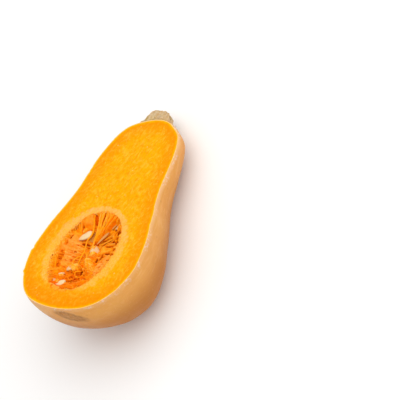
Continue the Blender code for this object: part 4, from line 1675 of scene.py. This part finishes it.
def matted_strings(count, half_width):
    """Strings matted on the pulp: across it in the middle, along it towards the stem, curly at the
    blossom end."""
    chance = random.Random(29)
    reach_along, reach_across = pulp_reach()
    paths = []
    u = np.linspace(0, 1, FIBRE_POINTS)
    for number in range(count):
        curly = number % 4 == 0
        if curly:
            along0 = chance.gauss(CURL_MIDDLE[0], CURL_SPREAD)
            across0 = chance.gauss(CURL_MIDDLE[1], CURL_SPREAD)
        else:
            share = math.sqrt(chance.random()) * MATTED_START
            spin = chance.uniform(0, 2 * math.pi)
            along0 = reach_along * share * math.cos(spin)
            across0 = reach_across * share * math.sin(spin)
        if along0 > FAN_START:
            heading = math.atan2(FAN_APEX[1] - across0, FAN_APEX[0] - along0) + chance.gauss(0, 0.15)
        else:
            heading = WRINKLE_HEADING + chance.gauss(0, 0.35)
        bend = chance.gauss(0, 3.4 if curly else 0.7)
        length = chance.uniform(4, 12)
        angles = heading + bend * (u - 0.5) + 0.3 * np.sin(u * 8 + number)
        step = length / (FIBRE_POINTS - 1)
        along = along0 + np.cumsum(np.cos(angles)) * step - length * math.cos(heading) / 2
        across = across0 + np.cumsum(np.sin(angles)) * step - length * math.sin(heading) / 2
        beyond = np.hypot(along / reach_along, across / reach_across).max() > MATTED_END
        smooth = highest_patch(along0, across0, SWELLINGS, SWELL_SMOOTHNESS)
        if beyond or smooth > 0.4 or seed_mask(along, across).max() > 0.5:
            continue
        arch = chance.uniform(0.2, 1.3) if curly else chance.uniform(0.0, 0.4)
        lift = chance.uniform(-0.15, 0.25) + arch * np.sin(u * math.pi)
        thinning = 0.35 + 0.65 * np.sin(np.clip(u * 1.1, 0, 1) * math.pi)
        widths = half_width * chance.uniform(0.5, 1.3) * thinning
        # The matted strings take the bed's tone, with its painted shade.
        points, tone = on_pulp(along, across, lift)
        shade = CURL_SHADE if curly else 0.0
        paths.append((points, widths, np.clip(tone + chance.uniform(-0.1, 0.3) - shade, 0, 1)))
    return paths


def string_tree():
    """Geometry nodes: a round string along each path, as thick as its points say, with a rough skin."""
    tree = bpy.data.node_groups.new("Strings Along Paths", "GeometryNodeTree")
    sockets = {}
    for label, kind, default in (
        ("Paths", "NodeSocketGeometry", None),
        ("Sides", "NodeSocketInt", 6),
        ("Flatness", "NodeSocketFloat", 0.75),
        ("Skin Height", "NodeSocketFloat", 0.4),
        ("Skin Size", "NodeSocketFloat", 0.0015),
        ("Seed", "NodeSocketFloat", 5.0),
        ("Material", "NodeSocketMaterial", None),
    ):
        socket = tree.interface.new_socket(label, in_out="INPUT", socket_type=kind)
        if default is not None:
            socket.default_value = default
        sockets[label] = socket.identifier
    tree.interface.new_socket("Strings", in_out="OUTPUT", socket_type="NodeSocketGeometry")
    inputs = tree.nodes.new("NodeGroupInput").outputs
    end = tree.nodes.new("NodeGroupOutput")

    curves = add(tree, "GeometryNodeMeshToCurve", {"Mesh": inputs["Paths"]}).outputs["Curve"]
    upright = add(tree, "GeometryNodeSetCurveNormal", {"Curve": curves}, mode="Z_UP").outputs["Curve"]
    named = add(tree, "GeometryNodeInputNamedAttribute", {"Name": "half_width"}, data_type="FLOAT")
    width = named.outputs["Attribute"]
    ring = add(tree, "GeometryNodeCurvePrimitiveCircle", {"Resolution": inputs["Sides"], "Radius": 1.0})
    squeeze = add(tree, "ShaderNodeCombineXYZ", {"X": 1.0, "Y": inputs["Flatness"], "Z": 1.0}).outputs[0]
    flattened = {"Geometry": ring.outputs["Curve"], "Scale": squeeze}
    profile = add(tree, "GeometryNodeTransform", flattened).outputs["Geometry"]
    swept = {"Curve": upright, "Profile Curve": profile, "Scale": width, "Fill Caps": True}
    skin = add(tree, "GeometryNodeCurveToMesh", swept).outputs["Mesh"]

    size = maths(tree, "DIVIDE", 1.0, inputs["Skin Size"])
    grained = {"Scale": size, "Detail": 1.0, "W": inputs["Seed"]}
    bumps = add(tree, "ShaderNodeTexNoise", grained, noise_dimensions="4D").outputs["Fac"]
    height = times(tree, round_zero(tree, bumps, inputs["Skin Height"]), width)
    facing = add(tree, "GeometryNodeInputNormal").outputs["Normal"]
    offset = add(tree, "ShaderNodeVectorMath", {0: facing, "Scale": height}, operation="SCALE").outputs[0]
    moved = add(tree, "GeometryNodeSetPosition", {"Geometry": skin, "Offset": offset}).outputs["Geometry"]
    real = add(tree, "GeometryNodeRealizeInstances", {"Geometry": moved}).outputs["Geometry"]
    painted = add(tree, "GeometryNodeSetMaterial", {"Geometry": real, "Material": inputs["Material"]})
    tree.links.new(painted.outputs["Geometry"], end.inputs["Strings"])
    return tree, sockets


def strings_object(name, paths, tree, sockets, values):
    """A plain mesh of strings from (points, half widths, tints) paths, made by the geometry nodes."""
    points, edges, widths, tints = [], [], [], []
    for line, half_widths, tint in paths:
        base = len(points)
        points += to_world(line).tolist()
        edges += [(base + k, base + k + 1) for k in range(len(line) - 1)]
        widths += list(np.asarray(half_widths) * MM)
        tints += list(tint)
    guide_mesh = bpy.data.meshes.new(name + "_paths")
    guide_mesh.from_pydata(points, edges, [])
    for label, value in (("half_width", widths), ("tint", tints)):
        layer = guide_mesh.attributes.new(label, "FLOAT", "POINT")
        layer.data.foreach_set("value", np.array(value, np.float32))
    guide = new_object(name + "_paths", guide_mesh)
    modifier = guide.modifiers.new("Strings", "NODES")
    modifier.node_group = tree
    for label, value in values.items():
        modifier[sockets[label]] = value
    graph = bpy.context.evaluated_depsgraph_get()
    mesh = bpy.data.meshes.new_from_object(guide.evaluated_get(graph))
    bpy.data.objects.remove(guide, do_unlink=True)
    mesh.name = name
    mesh.shade_smooth()
    return new_object(name, mesh)


# Half width of a usual string in millimetres, for which the widths of the wall strings are given.
USUAL_FIBRE_WIDTH = 0.3


def make_pulp(settings):
    """Bed, matted strings, wall strings and long strings."""
    bed = pulp_bed(settings)
    finish_piece(bed, "pulp", "seed_pulp")
    material = strings_material(settings)
    tree, sockets = string_tree()
    width = settings.fibre_width / MM
    sets = [
        ("pulp_long_strings", long_strings(), {"Sides": 9, "Flatness": 0.7, "Skin Height": 0.6}),
        ("pulp_wall_strings", wall_strings(width / USUAL_FIBRE_WIDTH), {"Sides": 7, "Flatness": 0.8}),
        ("pulp_matted_strings", matted_strings(settings.matted_fibres, width), {"Sides": 6}),
    ]
    for name, paths, values in sets:
        strings = strings_object(name, paths, tree, sockets, {**values, "Material": material})
        finish_piece(strings, "pulp")


# Points round a seed, and the rings of its sides as shares of its outline, close together at the rim.
SEED_TURNS = 44
SEED_REACHES = [*np.linspace(0.0, 0.7, 7)[1:], 0.78, 0.84, 0.89, 0.94, 0.98, 1.0]
# How much a seed narrows towards its tip, how much faster at the very tip, and how much it thins.
SEED_TAPER = 0.28
SEED_TIP_TAPER = 0.12
SEED_THINNING = 0.2
# Thickness of a seed's middle, as a share, and the heights of its rim, groove and wrinkles.
SEED_DOME = 0.92
SEED_RIM_HEIGHT = 0.20
SEED_GROOVE_DEPTH = 0.16
SEED_WRINKLE_HEIGHT = 0.09
# Most that a seed bends along its length, and the step from one seed's pattern to the next's.
SEED_WARP = 0.35
SEED_PATTERN_STEP = 37.0


def seed_matrix(middle, turns):
    """Place of a seed, turned by its heading, lift and roll in degrees."""
    heading, lift, roll = (math.radians(turn) for turn in turns)
    spin = Matrix.Rotation(heading, 4, "Z") @ Matrix.Rotation(-lift, 4, "Y")
    return Matrix.Translation(Vector(middle)) @ spin @ Matrix.Rotation(roll, 4, "X")


def seed_points(size, number):
    """Rings of a flat seed with their reaches, and the level of its middle.

    It has a corded rim, a shallow groove inside it and a slightly domed hull.
    """
    length, width, thickness = (side / 2 for side in size)
    turns = full_turn(SEED_TURNS)
    along = np.cos(turns)
    taper = 1 - SEED_TAPER * along - SEED_TIP_TAPER * along * np.abs(along)
    outline = np.stack([along * length, np.sin(turns) * width * taper], -1)
    layers = []
    for side, reaches in ((1, SEED_REACHES), (-1, SEED_REACHES[-2::-1])):
        for reach in reaches:
            dome = SEED_DOME * math.sqrt(max(1 - (reach * 0.86) ** 2, 0.0))
            rim = SEED_RIM_HEIGHT * math.exp(-(((reach - 0.92) / 0.045) ** 2))
            groove = SEED_GROOVE_DEPTH * math.exp(-(((reach - 0.80) / 0.06) ** 2))
            close = math.sqrt(max(1 - reach**8, 0.0))
            flat = outline * reach
            z = side * thickness * (dome + rim - groove) * close * (1 - SEED_THINNING * along)
            ring = np.column_stack([flat, z])
            wrinkle = rough(ring + 40.0 * number, (3.5, 1.4, 9.0), 2, 6.0)
            ring[:, 2] += side * SEED_WRINKLE_HEIGHT * wrinkle * (reach < 0.9)
            layers.append((ring, reach))
    return layers, thickness * SEED_DOME


def make_seeds(settings):
    """The seeds, each at its CAD node's place."""
    material = seed_material(settings)
    for number, (middle, size, turns, dull) in enumerate(SEEDS, start=1):
        layers, top = seed_points(size, number)
        warp = random.Random(number).uniform(-SEED_WARP, SEED_WARP)
        rings = [ring for ring, _ in layers]
        points = np.concatenate([[[0, 0, top]], *rings, [[0, 0, -top]]])
        points[:, 2] += warp * (points[:, 0] / (size[0] / 2)) ** 2 * 0.5
        reach = np.concatenate([[0], *[np.full(SEED_TURNS, r) for _, r in layers], [0]])
        matrix = np.array(seed_matrix(middle, turns))
        placed = points @ matrix[:3, :3].T + matrix[:3, 3]
        attributes = {
            "place": points + number * SEED_PATTERN_STEP,
            "dull": np.full(len(points), dull),
            "rim": fade(reach, 0.74, 0.95),
            "tip": np.clip(points[:, 0] / (size[0] / 2), -1, 1),
        }
        name = f"seed_hull_{number:02d}"
        faces = capped_faces(len(rings), SEED_TURNS)
        obj = mesh_object(name, placed, faces, [material], attributes)
        finish_piece(obj, "seed", f"seed_{number:02d}")


# Stem: its rings and their points, its ribs, and how much it narrows on its +Y side.
STEM_RINGS = 90
STEM_TURNS = 150
STEM_RIBS = 5
STEM_NARROWING = 0.2
# Level of the knife's cut through the stem, and how rough that cut is.
STEM_CUT_LEVEL = -0.55
STEM_CUT_ROUGHNESS = 0.5


def make_stem(settings):
    """The corky stub: lumpy, ribbed and dented, cut by the knife on its upper side."""
    first, last = STEM_OUTLINE[0][0], STEM_OUTLINE[-1][0]
    shares = np.linspace(0, 1, STEM_RINGS + 1)
    stations = first + (last - first) * np.sin(shares * math.pi / 2) ** 0.9
    turns = full_turn(STEM_TURNS)
    radius = rounded_value(STEM_OUTLINE, stations)[:, None]
    radius[0] = 0.0
    ribs = 1 + 0.07 * np.cos(STEM_RIBS * turns + 0.6) + 0.03 * np.cos(11 * turns + 2.0)
    x = stations[:, None] + np.zeros_like(turns)
    side = np.cos(turns)
    y = STEM_SIDE + radius * ribs * side * (1 - STEM_NARROWING * fade(side, 0.0, 1.0))
    z = -STEM_DEPTH + radius * ribs * STEM_FLATNESS * np.sin(turns)
    points = np.stack([x, y, z], -1)
    lumps = rough(points, (7.0, 6.0, 6.0), 3, 51.0)
    fine = rough(points, 2.2, 3, 53.0)
    crest = ridges(points, (9.0, 4.0, 4.0), 2, 55.0)
    outward = unit(points - np.array([first + 6.0, STEM_SIDE, -STEM_DEPTH]))
    relief = (1.4 * lumps + 0.5 * fine + 0.9 * (crest - 0.5)) * fade(stations, first + 2, first + 8)[:, None]
    points = points + outward * relief[..., None]
    cut = STEM_CUT_LEVEL + STEM_CUT_ROUGHNESS * rough(points * (1, 1, 0), 3.0, 3, 57.0)
    points[..., 2] = np.minimum(points[..., 2], cut)
    hollow = np.clip(0.5 - 0.6 * lumps - 0.35 * (crest - 0.5), 0.0, 1.0)
    rows = points[1:-1].reshape(-1, 3)
    start = points[0].mean(0)
    end = points[-1].mean(0)
    all_points = np.concatenate([[start], rows, [end]])
    faces = capped_faces(STEM_RINGS - 1, STEM_TURNS)
    inside = np.array([stations[STEM_RINGS // 2], STEM_SIDE, -STEM_DEPTH])
    if looks_at(all_points, faces[len(faces) // 2], inside):
        faces = [face[::-1] for face in faces]
    hollows = np.concatenate([[0.5], hollow[1:-1].reshape(-1), [0.5]])
    attributes = {"place": all_points, "hollow": hollows}
    stub = mesh_object("stem_stub", all_points, faces, [stem_material(settings)], attributes)
    finish_piece(stub, "stem", "stem")


# Camera directions in the squash's frame: to the right of the picture and back towards the viewer.
PICTURE_RIGHT = np.array([0.43807, -0.78836, -0.43195])
PICTURE_BACK = np.array([-0.3823, -0.5983, 0.7042])
# The picture's middle, measured from the middle of the cut face, to the right and up.
PICTURE_MIDDLE = (85.74, 11.48)
FACE_MIDDLE = np.array([108.0, 0.0, 0.0])
SENSOR_WIDTH = 36.0
CLIP_START = 0.1
CLIP_END = 50.0
# Softboxes: name, place right, up and towards the camera from the squash, width, power and colour.
LIGHTS = [
    ("key_softbox", (-0.3, 0.95, 1.25), 2.2, 20.0, (1.0, 0.99, 0.975)),
]
# Where the lights are aimed.
LIT_PLACE = np.array([95.0, 0.0, -10.0])
WORLD_STRENGTH = 0.74
FLOOR_HALF_SIZE = 6.0
FLOOR_PATCHES = (0.95, 0.948, 0.945)


def aim(obj, place, target):
    """The object at a place, looking at the target along its own -Z."""
    obj.location = Vector(place)
    obj.rotation_euler = (Vector(target) - Vector(place)).to_track_quat("-Z", "Y").to_euler()


def make_camera(settings):
    """The camera at the picture's viewing angle. The picture is turned, so the half seems to stand."""
    right = Vector(REST_TURN @ PICTURE_RIGHT).normalized()
    back = Vector(REST_TURN @ PICTURE_BACK)
    back = (back - right * back.dot(right)).normalized()
    up = back.cross(right)
    target = Vector(to_world(FACE_MIDDLE)[0])
    target += right * PICTURE_MIDDLE[0] * MM + up * PICTURE_MIDDLE[1] * MM
    data = bpy.data.cameras.new("camera")
    data.sensor_width = SENSOR_WIDTH
    data.lens = SENSOR_WIDTH * settings.camera_distance / settings.picture_width
    data.dof.use_dof = False
    data.clip_start = CLIP_START
    data.clip_end = CLIP_END
    camera = new_object("camera", data)
    turn = Matrix((right, up, back)).transposed().to_4x4()
    camera.matrix_world = Matrix.Translation(target + back * settings.camera_distance) @ turn
    bpy.context.scene.camera = camera
    return right, up, back


def floor_material(settings):
    """Pale matt floor with very faint patches."""
    material, tree, shader = new_material("pale_floor")
    place = add(tree, "ShaderNodeTexCoord").outputs["Object"]
    patches = add(tree, "ShaderNodeTexNoise", {"Vector": place, "Scale": 1.5, "Detail": 2.0})
    base = mix(tree, patches.outputs["Fac"], settings.floor_colour, FLOOR_PATCHES)
    tree.links.new(base, shader.inputs["Base Color"])
    shader.inputs["Roughness"].default_value = 0.75
    shader.inputs["Specular IOR Level"].default_value = 0.1
    return material


def make_stage(settings):
    """Pale floor, soft lights, white surroundings and the camera."""
    right, up, back = make_camera(settings)
    half = FLOOR_HALF_SIZE
    mesh = bpy.data.meshes.new("floor")
    corners = [(-half, -half, 0), (half, -half, 0), (half, half, 0), (-half, half, 0)]
    mesh.from_pydata(corners, [], [(0, 1, 2, 3)])
    mesh.materials.append(floor_material(settings))
    new_object("floor", mesh)
    target = to_world(LIT_PLACE)[0]
    for name, (to_right, to_top, to_camera), width, power, colour in LIGHTS:
        data = bpy.data.lights.new(name, "AREA")
        data.shape = "SQUARE"
        data.size = width
        data.energy = power
        data.color = colour
        place = Vector(target) + right * to_right + up * to_top + back * to_camera
        aim(new_object(name, data), place, target)
    world = bpy.context.scene.world or bpy.data.worlds.new("surroundings")
    bpy.context.scene.world = world
    world.use_nodes = True
    background = world.node_tree.nodes["Background"]
    background.inputs["Color"].default_value = (1.0, 1.0, 1.0, 1.0)
    background.inputs["Strength"].default_value = WORLD_STRENGTH
    bpy.context.scene.view_settings.view_transform = "Standard"


class SQUASH_OT_half(bpy.types.Operator):
    """Build the flesh, the rind and the wall of the hollow"""

    bl_idname = "squash.half"
    bl_label = "Flesh and Rind"

    def execute(self, context):
        make_half(context.scene.squash_flesh)
        return {"FINISHED"}


class SQUASH_OT_pulp(bpy.types.Operator):
    """Build the pulp and its strings"""

    bl_idname = "squash.pulp"
    bl_label = "Pulp"

    def execute(self, context):
        make_pulp(context.scene.squash_pulp)
        return {"FINISHED"}


class SQUASH_OT_seeds(bpy.types.Operator):
    """Build the seeds"""

    bl_idname = "squash.seeds"
    bl_label = "Seeds"

    def execute(self, context):
        make_seeds(context.scene.squash_seeds)
        return {"FINISHED"}


class SQUASH_OT_stem(bpy.types.Operator):
    """Build the stem stub"""

    bl_idname = "squash.stem"
    bl_label = "Stem"

    def execute(self, context):
        make_stem(context.scene.squash_stem)
        return {"FINISHED"}


class SQUASH_OT_stage(bpy.types.Operator):
    """Set up the floor, the lights and the camera"""

    bl_idname = "squash.stage"
    bl_label = "Floor, Lights and Camera"

    def execute(self, context):
        make_stage(context.scene.squash_stage)
        return {"FINISHED"}


class SQUASH_PT_panel(bpy.types.Panel):
    """Sizes, colours and build buttons of the squash"""

    bl_idname = "SQUASH_PT_panel"
    bl_label = "Butternut Squash Half"
    bl_space_type = "VIEW_3D"
    bl_region_type = "UI"
    bl_category = "Squash"

    def draw(self, context):
        for label, _, operator in PARTS:
            box = self.layout.box()
            settings = getattr(context.scene, label)
            for name in settings.__annotations__:
                box.prop(settings, name)
            box.operator(operator.bl_idname)


PARTS = [
    ("squash_flesh", FleshSettings, SQUASH_OT_half),
    ("squash_pulp", PulpSettings, SQUASH_OT_pulp),
    ("squash_seeds", SeedSettings, SQUASH_OT_seeds),
    ("squash_stem", StemSettings, SQUASH_OT_stem),
    ("squash_stage", StageSettings, SQUASH_OT_stage),
]


def register():
    """The settings, operators and panel join Blender."""
    for label, settings, operator in PARTS:
        bpy.utils.register_class(settings)
        bpy.utils.register_class(operator)
        setattr(bpy.types.Scene, label, bpy.props.PointerProperty(type=settings))
    bpy.utils.register_class(SQUASH_PT_panel)


def unregister():
    """The settings, operators and panel leave Blender."""
    bpy.utils.unregister_class(SQUASH_PT_panel)
    for label, settings, operator in reversed(PARTS):
        delattr(bpy.types.Scene, label)
        bpy.utils.unregister_class(operator)
        bpy.utils.unregister_class(settings)


def clear_start_scene():
    """Removes what the scene held before the frame was loaded."""
    kept = set(frame["bodies"].values()) | set(frame["nodes"].values())
    for obj in list(bpy.data.objects):
        if obj not in kept:
            bpy.data.objects.remove(obj, do_unlink=True)


def main():
    """Builds every piece and the stage."""
    clear_start_scene()
    register()
    bpy.ops.squash.half()
    bpy.ops.squash.pulp()
    bpy.ops.squash.seeds()
    bpy.ops.squash.stem()
    bpy.ops.squash.stage()


if __name__ == "__main__":
    main()
